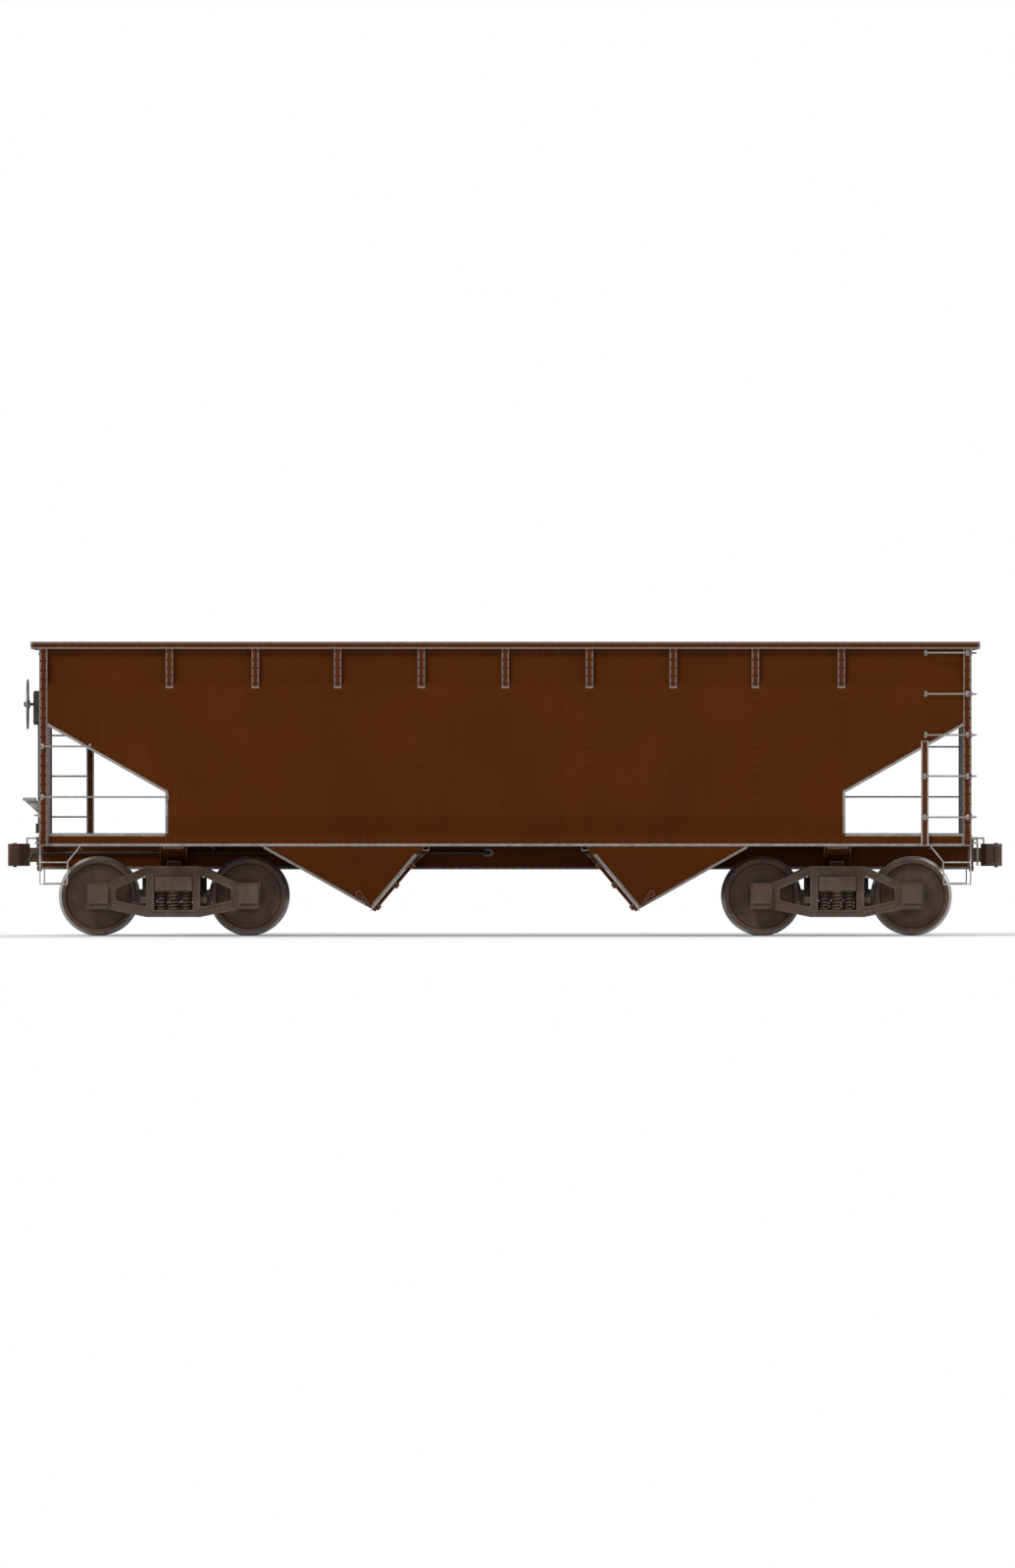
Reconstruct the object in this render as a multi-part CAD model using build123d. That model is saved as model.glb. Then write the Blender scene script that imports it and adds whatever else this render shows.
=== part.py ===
from build123d import *
import math
import os

# Open hopper wagon: an offset-side twin hopper on two four-wheel trucks.
# Millimetres. X runs along the wagon, Y across it, Z up. The origin is on the floor under the wagon's
# middle, where the wheel flanges stand. Heights in the drawing are above the rail, so RAIL is added.

# Wheels and rail level
FLANGE_DEPTH = 25.4
RAIL = FLANGE_DEPTH
WHEEL_RADIUS = 419.0
WHEELBASE = 1676.0
TRUCK_CENTRE = 3696.0
AXLE_Z = RAIL + WHEEL_RADIUS

# Body heights and lengths
BODY_HEIGHT = 3251.0
TOP_Z = RAIL + BODY_HEIGHT
SILL_HEIGHT = 976.0
SILL_BOTTOM = RAIL + SILL_HEIGHT
SILL_DEPTH = 140.0
SILL_TOP = SILL_BOTTOM + SILL_DEPTH
END_X = 5182.0
POST_WIDTH = 91.0
END_SHEET_X = END_X - POST_WIDTH
CHORD_OVERHANG = 95.0
CHORD_X = END_X + CHORD_OVERHANG
CHORD_DEPTH = 80.0
PLATE = 12.0
SHEET = 8.0

# Cross-section of the offset side, as half widths of the sheet's inner face
INSET_Y = 1450.0
OFFSET = 82.0
BULGE_Y = INSET_Y + OFFSET
STUB_LENGTH = 440.0
STEP_RISE = 110.0
LOWER_BEND_RISE = 200.0
CHUTE_FOOT_Y = 1180.0

# Slope sheets, hopper doors and the ridge between the bays
SLOPE_DEG = 29.5
SLOPE_FOOT_X = 2725.0
DOOR_TIP_X = 1490.0
DOOR_TOP_HEIGHT = 886.0
DOOR_TOP_Z = RAIL + DOOR_TOP_HEIGHT
DOOR_DEG = 50.0
RIDGE_HEIGHT = 1880.0
RIDGE_Z = RAIL + RIDGE_HEIGHT
SIDE_EDGE_X = 3780.0
STAKE_X = (0.0, 935.0, 1865.0, 2780.0, 3735.0)
STAKE_WIDTH = 80.0

# Centre sill, side sills and end sills
SILL_HALF = 165.0
CENTRE_SILL_HEIGHT = 714.0
CENTRE_BOTTOM = RAIL + CENTRE_SILL_HEIGHT
CENTRE_DEPTH = 325.0
CENTRE_TOP = CENTRE_BOTTOM + CENTRE_DEPTH
SILL_LIP = 90.0
SIDE_SILL_LIP = 90.0
LIP_SETBACK = 160.0
LIP_MARGIN = 40.0
END_SILL_FLANGE = 70.0
POST_PLATE = 8.0
CORNER_WEB = 150.0
CORNER_WEB_PLATE = 10.0
CHORD_GAP = 1.0

# The hood over the centre sill inside the load space
HOOD_HALF = 264.0
HOOD_GAP = 12.0
HOOD_RISE = 280.0
HOOD_FOOT_Z = CENTRE_TOP + HOOD_GAP
HOOD_PEAK_Z = HOOD_FOOT_Z + HOOD_RISE

# Body bolsters and their centre plates
BODY_BOLSTER_HALF = 150.0
BOLSTER_COVER = 16.0
BOLSTER_WEB_HALF = 15.0
FILLER_HALF = 160.0
FILLER_RISE = 180.0
CENTRE_PLATE_RADIUS = 178.0
CENTRE_PLATE_DEPTH = 26.0
CENTRE_PLATE_Z = CENTRE_BOTTOM - CENTRE_PLATE_DEPTH
KING_PIN_RADIUS = 22.0
KING_PIN_LENGTH = 150.0
JACKING_PAD_HALF = 110.0
JACKING_PAD_DEPTH = 25.0
SUPPORT_HALF = 60.0
SUPPORT_Y = (490.0, 550.0)

# Brake pipe, which crosses through the centre sill at the middle
PIPE_RADIUS = 17.0
PIPE_CLEARANCE = 0.3
PIPE_SLOT = 10.0
PIPE_BEND = 150.0
PIPE_Y = 215.0
PIPE_HEIGHT = 900.0
PIPE_Z = RAIL + PIPE_HEIGHT
PIPE_CROSS_X = 260.0
COCK_REACH = 100.0
COCK_DROP = 90.0
COCK_RADIUS = 23.0
COCK_BEND = 30.0
COCK_HANDLE = 120.0

# Hopper doors
DOOR_GAP = 5.0
DOOR_PLATE = 8.0
DOOR_LIP = 20.0
DOOR_SIDE_GAP = 2.0
DOOR_INNER_Y = HOOD_HALF + DOOR_SIDE_GAP
DOOR_CROSS_RIBS = (0.14, 0.5, 0.9)
CROSS_RIB_WIDTH = 50.0
RIB_DEEP = 60.0
RIB_SHALLOW = 45.0
RIB_Y = (DOOR_INNER_Y, 560.0, 850.0, CHUTE_FOOT_Y - 30.0)
HINGE_SETBACK = 20.0
HINGE_DROP = 34.0
HINGE_Y = (420.0, 1060.0)
PIN_RADIUS = 14.0
PIN_CLEARANCE = 0.5
EYE_RADIUS = 26.0
LUG_HALF = 25.0
STRAP_LENGTH = 80.0
EAR_GAP = 1.0
EAR_PLATE = 14.0
PIN_HEAD = 6.0
HEADER_SETBACK = 57.0
HEADER_WIDTH = 77.0
HEADER_RISE = 40.0
LOCK_PLATE = 22.0
LOCK_BOSS_RADIUS = 34.0
LOCK_BOSS = (140.0, 170.0)
LOCK_BAR = ((160.0, 190.0), (120.0, 200.0), (10.0, 25.0), (40.0, 20.0))

# Trucks. Places along X here are from the truck's own centre.
JOURNAL_Y = 978.0
JOURNAL_RADIUS = 70.0
JOURNAL_END = 1090.0
JOURNAL_END_GAP = 3.0
BEARING_CLEARANCE = 0.3
FRAME_TOP_HEIGHT = 752.0
FRAME_TOP = RAIL + FRAME_TOP_HEIGHT
FRAME_BOTTOM_HEIGHT = 185.0
FRAME_BOTTOM = RAIL + FRAME_BOTTOM_HEIGHT
FRAME_HALF_WIDTH = 60.0
FRAME_WAIST = 300.0
CHORD_THICKNESS = 100.0
TENSION_THICKNESS = 80.0
BOX_HALF = 130.0
BOX_RISE = 150.0
CASE_HALF = 115.0
CASE_RISE = 135.0
CASE_FRONT = 122.0
LID_HALF = 100.0
LID_DEPTH = 36.0
WINDOW_HALF = 215.0
WINDOW_END = 640.0
WINDOW_CORNER = 30.0
SPRING_SEAT = FRAME_BOTTOM + TENSION_THICKNESS
SPRING_HEIGHT = 210.0
SPRING_RADIUS = 68.0
SPRING_PLACES = ((-138.0, -30.0), (138.0, -30.0), (0.0, 30.0))
BOLSTER_HALF = 205.0
BOLSTER_UNDER = SPRING_SEAT + SPRING_HEIGHT
BOLSTER_END_DEPTH = 165.0
BOLSTER_BELLY = 105.0
BOLSTER_END_REACH = 105.0
BOLSTER_OUTER_Y = JOURNAL_Y + BOLSTER_END_REACH
BOWL_GAP = 0.3
BOWL_FLOOR = CENTRE_PLATE_Z - BOWL_GAP
BOWL_RIM_RADIUS = 215.0
BOWL_CLEARANCE = 3.0
BOWL_RIM_RISE = 18.0
BOWL_PLATE = 23.0
BOLSTER_TOP = BOWL_FLOOR - BOWL_PLATE
KING_PIN_CLEARANCE = 1.5
SIDE_BEARING_Y = 635.0
SIDE_BEARING_DEPTH = 32.0
SIDE_BEARING_TOP = BOLSTER_TOP + SIDE_BEARING_DEPTH
SIDE_BEARING_GAP = 5.0

# Wheels and axles
WHEEL_BACK_Y = 677.0
RIM_WIDTH = 146.0
RIM_THICKNESS = 57.0
FLANGE_WIDTH = 33.0
WHEEL_SEAT_RADIUS = 84.0
HUB_RADIUS = 138.0
HUB_LENGTH = 172.0
AXLE_RADIUS = 70.0

# Brake beams, shoes and levers of a truck
SHOE_GAP = 5.0
SHOE_THICKNESS = 50.0
SHOE_WIDTH = 85.0
SHOE_INSET = 12.0
BEAM_SETBACK = 90.0
BEAM_X = WHEELBASE / 2 - WHEEL_RADIUS - BEAM_SETBACK
BEAM_DROP = 45.0
BEAM_Z = AXLE_Z - BEAM_DROP
BEAM_RADIUS = 26.0
GUIDE_REACH = 75.0
GUIDE_Y = JOURNAL_Y - GUIDE_REACH
GUIDE_RISE = 35.0
LEVER_REACH = 180.0
LEVER_LOW = BOLSTER_UNDER - LEVER_REACH
LEVER_HALF = 32.0

# Couplers. Places along X here are from the end of the centre sill.
COUPLER_HEIGHT = 876.0
COUPLER_Z = RAIL + COUPLER_HEIGHT
SHANK_HALF = 65.0
SHANK_RISE = 80.0
SHANK_LENGTH = 250.0
DRAFT_GEAR_LENGTH = 550.0
HEAD_RISE = 125.0
LUG_RISE = 90.0
KNUCKLE_RISE = 85.0
KNUCKLE_PIN = (300.0, -115.0)
KNUCKLE_EYE = 32.0
KNUCKLE_PIN_RADIUS = 20.0
HEAD_WALL_X = 262.0
STRIKER_PLATE = 45.0
STRIKER_HALF = 185.0
MOUTH_HALF = 95.0
MOUTH_HEADROOM = 25.0
LEVER_STANDOFF = 70.0
LEVER_X = END_X + LEVER_STANDOFF
UNCOUPLING_RADIUS = 11.0
UNCOUPLING_RISE = 60.0
UNCOUPLING_Z = COUPLER_Z + HEAD_RISE + UNCOUPLING_RISE
UNCOUPLING_Y = 1180.0

# Steps, ladders and grab irons
STEP_BAR = 14.0
STEP_WIDTH = 50.0
STEP_INSET = 60.0
STEP_Y = INSET_Y - STEP_INSET
LOW_TREAD_HEIGHT = 545.0
TREAD_PITCH = 245.0
TREADS_Z = (RAIL + LOW_TREAD_HEIGHT, RAIL + LOW_TREAD_HEIGHT + TREAD_PITCH)
STEP_LENGTH = 312.0
STEP_INNER_X = END_X - STEP_LENGTH
STEP_SPLAY = 150.0
SIDE_FACE = BULGE_Y + SHEET
POST_FACE = SIDE_FACE + POST_PLATE
RUNG_RADIUS = 10.0
RUNG_STANDOFF = 50.0
RUNG_BEND = 22.0
LOW_RUNG_HEIGHT = 1298.0
TOP_RUNG_DROP = 125.0
RUNG_Y = POST_FACE + RUNG_STANDOFF
RUNG_OUT_X = END_X + RUNG_STANDOFF
RUNG_COUNT = 5
LOW_RUNG_Z = RAIL + LOW_RUNG_HEIGHT
RUNG_PITCH = (TOP_Z - TOP_RUNG_DROP - LOW_RUNG_Z) / (RUNG_COUNT - 1)
RUNGS_Z = [LOW_RUNG_Z + i * RUNG_PITCH for i in range(RUNG_COUNT)]
RUNG_START_X = 4673.0
RUNG_END_X = END_X - POST_WIDTH / 2
STILE_X = (4620.0, 4705.0)
STILE_HEIGHT = 2148.0
STILE_TOP = RAIL + STILE_HEIGHT
END_STILE_Y = 1010.0
END_STILE_HALF = 30.0
GRAB_END_INSET = 34.0
GRAB_END_X = END_X - GRAB_END_INSET
GRAB_HEIGHT = 2085.0
OPEN_END_RAIL_HEIGHT = 1523.0
END_GRAB_HEIGHT = 1320.0
LOW_GRAB_RISE = 35.0
LOW_GRAB_Y = (620.0, 1120.0)
END_RUNG_INSET = 40.0
END_RUNG_Y = SIDE_FACE - END_RUNG_INSET

# Brake gear on the -X end and under the -X slope
BRAKE_Y = 520.0
BRAKE_WHEEL_HEIGHT = 2560.0
BRAKE_WHEEL_Z = RAIL + BRAKE_WHEEL_HEIGHT
BRAKE_WHEEL_RADIUS = 268.0
BRAKE_RIM_RADIUS = 13.0
BRAKE_WHEEL_REACH = 165.0
BRAKE_WHEEL_X = -(END_X + BRAKE_WHEEL_REACH)
BRAKE_HUB_RADIUS = 42.0
SHAFT_RADIUS = 16.0
BRAKE_STEP_HEIGHT = 1480.0
BRAKE_STEP_Z = RAIL + BRAKE_STEP_HEIGHT
BRAKE_CASE_DEPTH = 95.0
BRAKE_CASE_HALF = 105.0
BRAKE_CASE_RISE = 150.0
BRAKE_CASE_DROP = 230.0
BRAKE_CASE_CORNER = 45.0
SHAFT_END = 30.0
NUT_DEPTH = 18.0
CHAIN_ROD_OUT = 40.0
CHAIN_ROD_RADIUS = 12.0
CRANK_REACH = 35.0
CRANK_RISE = 110.0
BRAKE_STEP_REACH = 215.0
BRAKE_STEP_SETBACK = 70.0
BRAKE_STEP_Y = (360.0, 300.0)
BRAKE_STEP_DECK = 32.0
STAY_PLATE = 10.0
STAY_DROP = 190.0
END_POST_INSET = 6.0
END_POST_HALF = 45.0
END_POST_PLATE = 10.0
POST_OUT_X = END_X - END_POST_INSET
TANK_RADIUS = 135.0
TANK_GAP = 11.0
TANK_X = -(TRUCK_CENTRE - BODY_BOLSTER_HALF - TANK_RADIUS - TANK_GAP)
TANK_NOSE = 90.0
TANK_BOW = 20.0
TANK_Y = (330.0, 980.0)
TANK_SADDLE_Y = (420.0, 900.0)
CYLINDER_FOOT_Y = (-800.0, -640.0)
VALVE_Y = (-1240.0, -1000.0)
VALVE_RISE = 210.0
VALVE_MARGIN = 10.0
VALVE_CORNER = 30.0
CYLINDER_STAGES = [
    (-380.0, 0.0),
    (-380.0, 22.0),
    (-560.0, 22.0),
    (-560.0, 105.0),
    (-575.0, 130.0),
    (-600.0, 130.0),
    (-605.0, 118.0),
    (-840.0, 118.0),
    (-845.0, 130.0),
    (-870.0, 130.0),
    (-880.0, 60.0),
    (-980.0, 60.0),
    (-980.0, 0.0),
]
TANK_BEAM_HALF = 60.0
TANK_BEAM_PLATE = 18.0
TANK_BEAM_RISE = 30.0
TANK_BEAM_Z = SILL_BOTTOM + TANK_BEAM_RISE

FAR = 8000.0
AXES = {"x": Vector(1, 0, 0), "y": Vector(0, 1, 0), "z": Vector(0, 0, 1)}


def at(point, axis, place):
    """A flat point as a 3-D one: (y, z) for axis x, (x, z) for axis y, (x, y) for axis z."""
    u, v = point
    return {"x": (place, u, v), "y": (u, place, v), "z": (u, v, place)}[axis]


def prism(points, axis, low, high):
    """A flat outline pulled straight along one axis."""
    face = make_face(Polyline(*[at(p, axis, low) for p in points], close=True))
    return extrude(face, amount=high - low, dir=AXES[axis])


def box(x, y, z):
    """A block from its three (low, high) pairs."""
    return prism([(x[0], z[0]), (x[1], z[0]), (x[1], z[1]), (x[0], z[1])], "y", *y)


def offset_line(points, distance):
    """An open flat line moved to its left by a distance, its corners mitred."""
    moved = []
    for i, (u, v) in enumerate(points):
        sides = []
        for a, b in ((i - 1, i), (i, i + 1)):
            if a >= 0 and b < len(points):
                du, dv = points[b][0] - points[a][0], points[b][1] - points[a][1]
                length = math.hypot(du, dv)
                sides.append((-dv / length, du / length))
        nu = sum(s[0] for s in sides)
        nv = sum(s[1] for s in sides)
        share = distance / (nu * sides[0][0] + nv * sides[0][1])
        moved.append((u + nu * share, v + nv * share))
    return moved


def bent_plate(points, thickness, axis, low, high):
    """A plate folded along an open flat line, thickened to the line's left."""
    return prism(points + offset_line(points, thickness)[::-1], axis, low, high)


def rod(points, radius, bend=0.0):
    """A round bar through points, with its corners bent to a radius."""
    path = FilletPolyline(*points, radius=bend) if bend else Polyline(*points)
    return sweep(Plane(origin=path @ 0, z_dir=path % 0) * Circle(radius), path)


def pin_along(axis, centre, radius, low, high):
    """A round pin along one axis between two places on it."""
    face = Plane(origin=at(centre, axis, low), z_dir=AXES[axis]) * Circle(radius)
    return extrude(face, amount=high - low, dir=AXES[axis])


def turned(profile, centre=(0.0, 0.0)):
    """A solid of revolution about an axis along Y. profile holds (y, radius) points."""
    cx, cz = centre
    face = make_face(Polyline(*[(cx, y, cz + r) for y, r in profile], close=True))
    return revolve(face, Axis((cx, 0, cz), (0, 1, 0)))


def swap_sides(shape):
    return mirror(shape, about=Plane.XZ)


def swap_ends(shape):
    return mirror(shape, about=Plane.YZ)


def half_turn(shape):
    return Rotation(0, 0, 180) * shape


def both_sides(*shapes):
    return [*shapes, *[swap_sides(s) for s in shapes]]


def four_corners(*shapes):
    sides = both_sides(*shapes)
    return [*sides, *[swap_ends(s) for s in sides]]


def fuse(*shapes):
    whole = shapes[0]
    for s in shapes[1:]:
        whole = whole + s
    return whole


def keep(node, *shapes):
    """Writes one node. Its solids are gathered from every shape given."""
    solids = [s for shape in shapes for s in shape.solids()]
    export_step(Compound(solids), f"parts/{node}.step")


def slope_z(x):
    """Height of the slope sheet's underside at a distance from the wagon's middle."""
    return SILL_BOTTOM + (x - SLOPE_FOOT_X) * math.tan(math.radians(SLOPE_DEG))


# Places that follow from the driving dimensions
DOOR_TIP_Z = slope_z(DOOR_TIP_X)
DOOR_TOP_X = DOOR_TIP_X - (DOOR_TOP_Z - DOOR_TIP_Z) / math.tan(math.radians(DOOR_DEG))
CHORD_UNDER = TOP_Z - PLATE
STUB_FOOT = TOP_Z - CHORD_DEPTH - STUB_LENGTH
LOWER_BEND_Z = SILL_TOP + LOWER_BEND_RISE
SIDE_LINE = [
    (INSET_Y, SILL_BOTTOM),
    (INSET_Y, SILL_TOP),
    (BULGE_Y, LOWER_BEND_Z),
    (BULGE_Y, STUB_FOOT),
    (INSET_Y, STUB_FOOT + STEP_RISE),
    (INSET_Y, CHORD_UNDER),
]
SIDE_OUTER = offset_line(SIDE_LINE, -SHEET)
CHUTE_LINE = [(CHUTE_FOOT_Y, DOOR_TIP_Z), (INSET_Y, SILL_BOTTOM)]
DOOR_LENGTH = (DOOR_TOP_Z - DOOR_TIP_Z) / math.sin(math.radians(DOOR_DEG))
HEADER_X = (DOOR_TOP_X - HEADER_SETBACK - HEADER_WIDTH, DOOR_TOP_X - HEADER_SETBACK)
HEADER_Z = DOOR_TOP_Z + HEADER_RISE


def door_point(down, out):
    """A point near the +X door: down along it from its top edge, out from the door line."""
    a = math.radians(DOOR_DEG)
    return (
        DOOR_TOP_X + down * math.cos(a) - out * math.sin(a),
        DOOR_TOP_Z - down * math.sin(a) - out * math.cos(a),
    )


HINGE = door_point(-HINGE_SETBACK, DOOR_GAP + HINGE_DROP)


def load_section():
    """The hollow of the load space as a bar along X, bounded by the sheets' inner faces."""
    right = [(CHUTE_FOOT_Y, DOOR_TIP_Z - SHEET), *CHUTE_LINE, *SIDE_LINE[1:]]
    left = [(-y, z) for y, z in reversed(right)]
    return prism(right + left, "x", -FAR, FAR)


def tunnel(grown):
    """The space over the centre sill that the hood and the inner chute walls keep clear."""
    half, peak = HOOD_HALF + grown, HOOD_PEAK_Z + grown * 1.4
    shoulder = HOOD_FOOT_Z + grown * 0.4
    points = [(-half, 0), (half, 0), (half, shoulder), (0, peak), (-half, shoulder)]
    return prism(points, "x", -FAR, FAR)


def bay_region():
    """Everything above the undersides of the +X slope sheet and ridge, and above the door line."""
    return prism(
        [
            (DOOR_TIP_X, DOOR_TIP_Z),
            (END_SHEET_X, slope_z(END_SHEET_X)),
            (END_SHEET_X, TOP_Z),
            (0, TOP_Z),
            (0, RIDGE_Z),
            (DOOR_TOP_X, DOOR_TOP_Z),
        ],
        "y",
        -FAR,
        FAR,
    )


def stake_blocks():
    """The full outline of each inside stake, one bar per stake and side."""
    line = SIDE_LINE[1:5]
    blocks = []
    for x in sorted({s * v for v in STAKE_X for s in (-1, 1)}):
        blocks.append(prism(line, "x", x - STAKE_WIDTH / 2, x + STAKE_WIDTH / 2))
    return both_sides(*blocks)


def side_sill():
    """The +Y side sill: a web under the side sheet, with a lip turned in where no hopper passes."""
    web = box((-END_SHEET_X, END_SHEET_X), (INSET_Y - PLATE, INSET_Y), (SILL_BOTTOM, SILL_TOP))
    lip_y = (INSET_Y - SIDE_SILL_LIP, INSET_Y)
    lip = box((-END_SHEET_X, END_SHEET_X), lip_y, (SILL_BOTTOM, SILL_BOTTOM + PLATE))
    bay = box((DOOR_TOP_X - LIP_SETBACK, SLOPE_FOOT_X + LIP_MARGIN), (0, INSET_Y - PLATE), (0, TOP_Z))
    return fuse(web, lip) - bay - swap_ends(bay)


def pipe_bore(radius):
    """A round bar on the brake pipe's line, from end to end of the sill."""
    near, cross = (PIPE_Y, PIPE_Z), PIPE_CROSS_X
    line = [(END_X, *near), (cross, *near), (-cross, -PIPE_Y, PIPE_Z), (-END_X, -PIPE_Y, PIPE_Z)]
    return rod(line, radius, PIPE_BEND)


def build_underframe():
    """Centre sill, side sills, end sills and body bolsters."""
    w, lip = SILL_HALF, SILL_HALF + SILL_LIP
    z0, z1 = CENTRE_BOTTOM, CENTRE_TOP
    half = [(w - PLATE, z0), (lip, z0), (lip, z0 + PLATE), (w, z0 + PLATE), (w, z1)]
    section = half + [(-w, z1), (-w, z0 + PLATE), (-lip, z0 + PLATE), (-lip, z0), (-w + PLATE, z0)]
    section += [(-w + PLATE, z1 - PLATE), (w - PLATE, z1 - PLATE)]
    keep("centre_sill", prism(section, "x", -END_X, END_X) - pipe_bore(PIPE_RADIUS + PIPE_SLOT))
    keep("side_sills", *both_sides(side_sill()))

    gap = box((0, FAR), (-w, w), (0, z1))
    inner = SIDE_FACE - END_SILL_FLANGE
    sill = box((END_SHEET_X, END_X), (-SIDE_FACE, SIDE_FACE), (SILL_BOTTOM, SILL_TOP))
    inside = (SILL_BOTTOM + PLATE, SILL_TOP - PLATE)
    sill = sill - box((END_SHEET_X, END_X - PLATE), (-inner, inner), inside) - gap
    keep("end_sills", sill, swap_ends(sill))


def bolster_parts():
    """One body bolster at +X: two wings, and the centre filler with its plate and king pin."""
    y0, y1 = SILL_HALF, INSET_Y - PLATE
    low, high = TRUCK_CENTRE - BODY_BOLSTER_HALF, TRUCK_CENTRE + BODY_BOLSTER_HALF
    foot, shoulder = CENTRE_BOTTOM + PLATE, SILL_BOTTOM + PLATE
    under = [(y0, foot), (y0 + SILL_LIP + 5, foot), (INSET_Y - SIDE_SILL_LIP, shoulder), (y1, shoulder)]
    lower = bent_plate(under, BOLSTER_COVER, "x", low, high)
    upper = box((low, high), (y0, y1), (SILL_TOP - BOLSTER_COVER, SILL_TOP))
    outline = under + [(y1, SILL_TOP), (y0, SILL_TOP)]
    web = prism(outline, "x", TRUCK_CENTRE - BOLSTER_WEB_HALF, TRUCK_CENTRE + BOLSTER_WEB_HALF)
    rub_z = SIDE_BEARING_TOP + SIDE_BEARING_GAP
    middle = SIDE_BEARING_Y
    bearing = box((TRUCK_CENTRE - 75, TRUCK_CENTRE + 75), (middle - 45, middle + 45), (rub_z, rub_z + 105))
    wing = fuse(web, lower, upper, bearing) - pipe_bore(PIPE_RADIUS + PIPE_CLEARANCE)
    inner = SILL_HALF - PLATE
    spine = (TRUCK_CENTRE - FILLER_HALF, TRUCK_CENTRE + FILLER_HALF)
    filler = box(spine, (-inner, inner), (CENTRE_BOTTOM, CENTRE_BOTTOM + FILLER_RISE))
    centre = (TRUCK_CENTRE, 0)
    plate = pin_along("z", centre, CENTRE_PLATE_RADIUS, CENTRE_PLATE_Z, CENTRE_BOTTOM)
    king_pin = pin_along("z", centre, KING_PIN_RADIUS, CENTRE_PLATE_Z - KING_PIN_LENGTH, CENTRE_PLATE_Z)
    return [wing, swap_sides(wing), fuse(filler, plate, king_pin)]


def build_bolsters():
    bolster = bolster_parts()
    keep("body_bolsters", *bolster, *[swap_ends(b) for b in bolster])


def build_tub():
    """Side, slope, end and ridge sheets, the hoods over the centre sill and the chute walls."""
    stakes = stake_blocks()
    outline = prism(
        [
            (-END_X + PLATE, CHORD_UNDER),
            (END_X - PLATE, CHORD_UNDER),
            (END_X - PLATE, slope_z(END_X - PLATE)),
            (SIDE_EDGE_X, slope_z(SIDE_EDGE_X)),
            (SIDE_EDGE_X, SILL_BOTTOM),
            (-SIDE_EDGE_X, SILL_BOTTOM),
            (-SIDE_EDGE_X, slope_z(SIDE_EDGE_X)),
            (-END_X + PLATE, slope_z(END_X - PLATE)),
        ],
        "y",
        0,
        FAR,
    )
    side = prism(SIDE_LINE + SIDE_OUTER[::-1], "x", -FAR, FAR) & outline
    keep("side_sheet_left", side)
    keep("side_sheet_right", swap_sides(side))

    sills = both_sides(side_sill())
    section = load_section()
    clear_of = [tunnel(SHEET), *sills, *stakes]

    # Bay +X: the end sheet folds into the slope sheet, which runs down to the door tip.
    slope_line = [(DOOR_TIP_X, DOOR_TIP_Z), (END_SHEET_X, slope_z(END_SHEET_X)), (END_SHEET_X, CHORD_UNDER)]
    slope = bent_plate(slope_line, SHEET, "y", -FAR, FAR) & section
    for other in clear_of:
        slope = slope - other
    keep("slope_sheet_a", slope)
    keep("slope_sheet_b", swap_ends(slope))

    ridge_line = [(-DOOR_TOP_X, DOOR_TOP_Z), (0, RIDGE_Z), (DOOR_TOP_X, DOOR_TOP_Z)]
    ridge = bent_plate(ridge_line, SHEET, "y", -FAR, FAR) & section
    for other in clear_of:
        ridge = ridge - other
    keep("cross_ridge", ridge)

    hood = (tunnel(SHEET) - tunnel(0)) & bay_region()
    keep("sill_hoods", hood, swap_ends(hood))

    chute = bent_plate(CHUTE_LINE, -SHEET, "x", 0, FAR)
    below = prism(
        [
            (DOOR_TIP_X, DOOR_TIP_Z),
            (SLOPE_FOOT_X, SILL_BOTTOM),
            (DOOR_TOP_X, SILL_BOTTOM),
            (DOOR_TOP_X, DOOR_TOP_Z),
        ],
        "y",
        0,
        FAR,
    )
    walls = both_sides(chute & below)
    keep("chute_walls", *walls, *[swap_ends(w) for w in walls])


def build_stakes():
    """Inside stakes, the short stubs that show under the top chord, and the chords themselves."""
    half = STAKE_WIDTH / 2
    inside, stubs = [], []
    for x in sorted({s * v for v in STAKE_X for s in (-1, 1)}):
        block = prism(SIDE_LINE[1:5], "x", x - half, x + half)
        pocket = box((x - half + SHEET, x + half - SHEET), (INSET_Y + SHEET, FAR), (0, TOP_Z))
        inside.append(block - pocket)
        wedge = [SIDE_OUTER[5], (BULGE_Y + SHEET, CHORD_UNDER), SIDE_OUTER[3], SIDE_OUTER[4]]
        stub = prism(wedge, "x", x - half, x + half)
        stubs.append(stub - box((x - half + SHEET, x + half - SHEET), (0, BULGE_Y), (0, TOP_Z)))
    keep("side_stakes", *both_sides(*inside, *stubs))


def build_chords():
    y0, y1 = INSET_Y - PLATE, POST_FACE + CHORD_GAP + PLATE
    line = [(y0, TOP_Z - CHORD_DEPTH), (y0, TOP_Z), (y1, TOP_Z), (y1, TOP_Z - CHORD_DEPTH)]
    side = bent_plate(line, -PLATE, "x", -CHORD_X, CHORD_X)
    cap = box((CHORD_X - PLATE, CHORD_X), (y0, y1), (TOP_Z - CHORD_DEPTH, TOP_Z))
    inner_leg = box((END_SHEET_X - SHEET, CHORD_X), (y0 - 1, y0 + PLATE), (0, CHORD_UNDER))
    side = fuse(side - inner_leg - swap_ends(inner_leg), cap, swap_ends(cap))
    keep("side_chords", *both_sides(side))
    line = [(END_SHEET_X - SHEET, TOP_Z), (CHORD_X, TOP_Z), (CHORD_X, TOP_Z - CHORD_DEPTH)]
    end = bent_plate(line, -PLATE, "y", -y0, y0)
    keep("end_chords", end, swap_ends(end))


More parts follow.
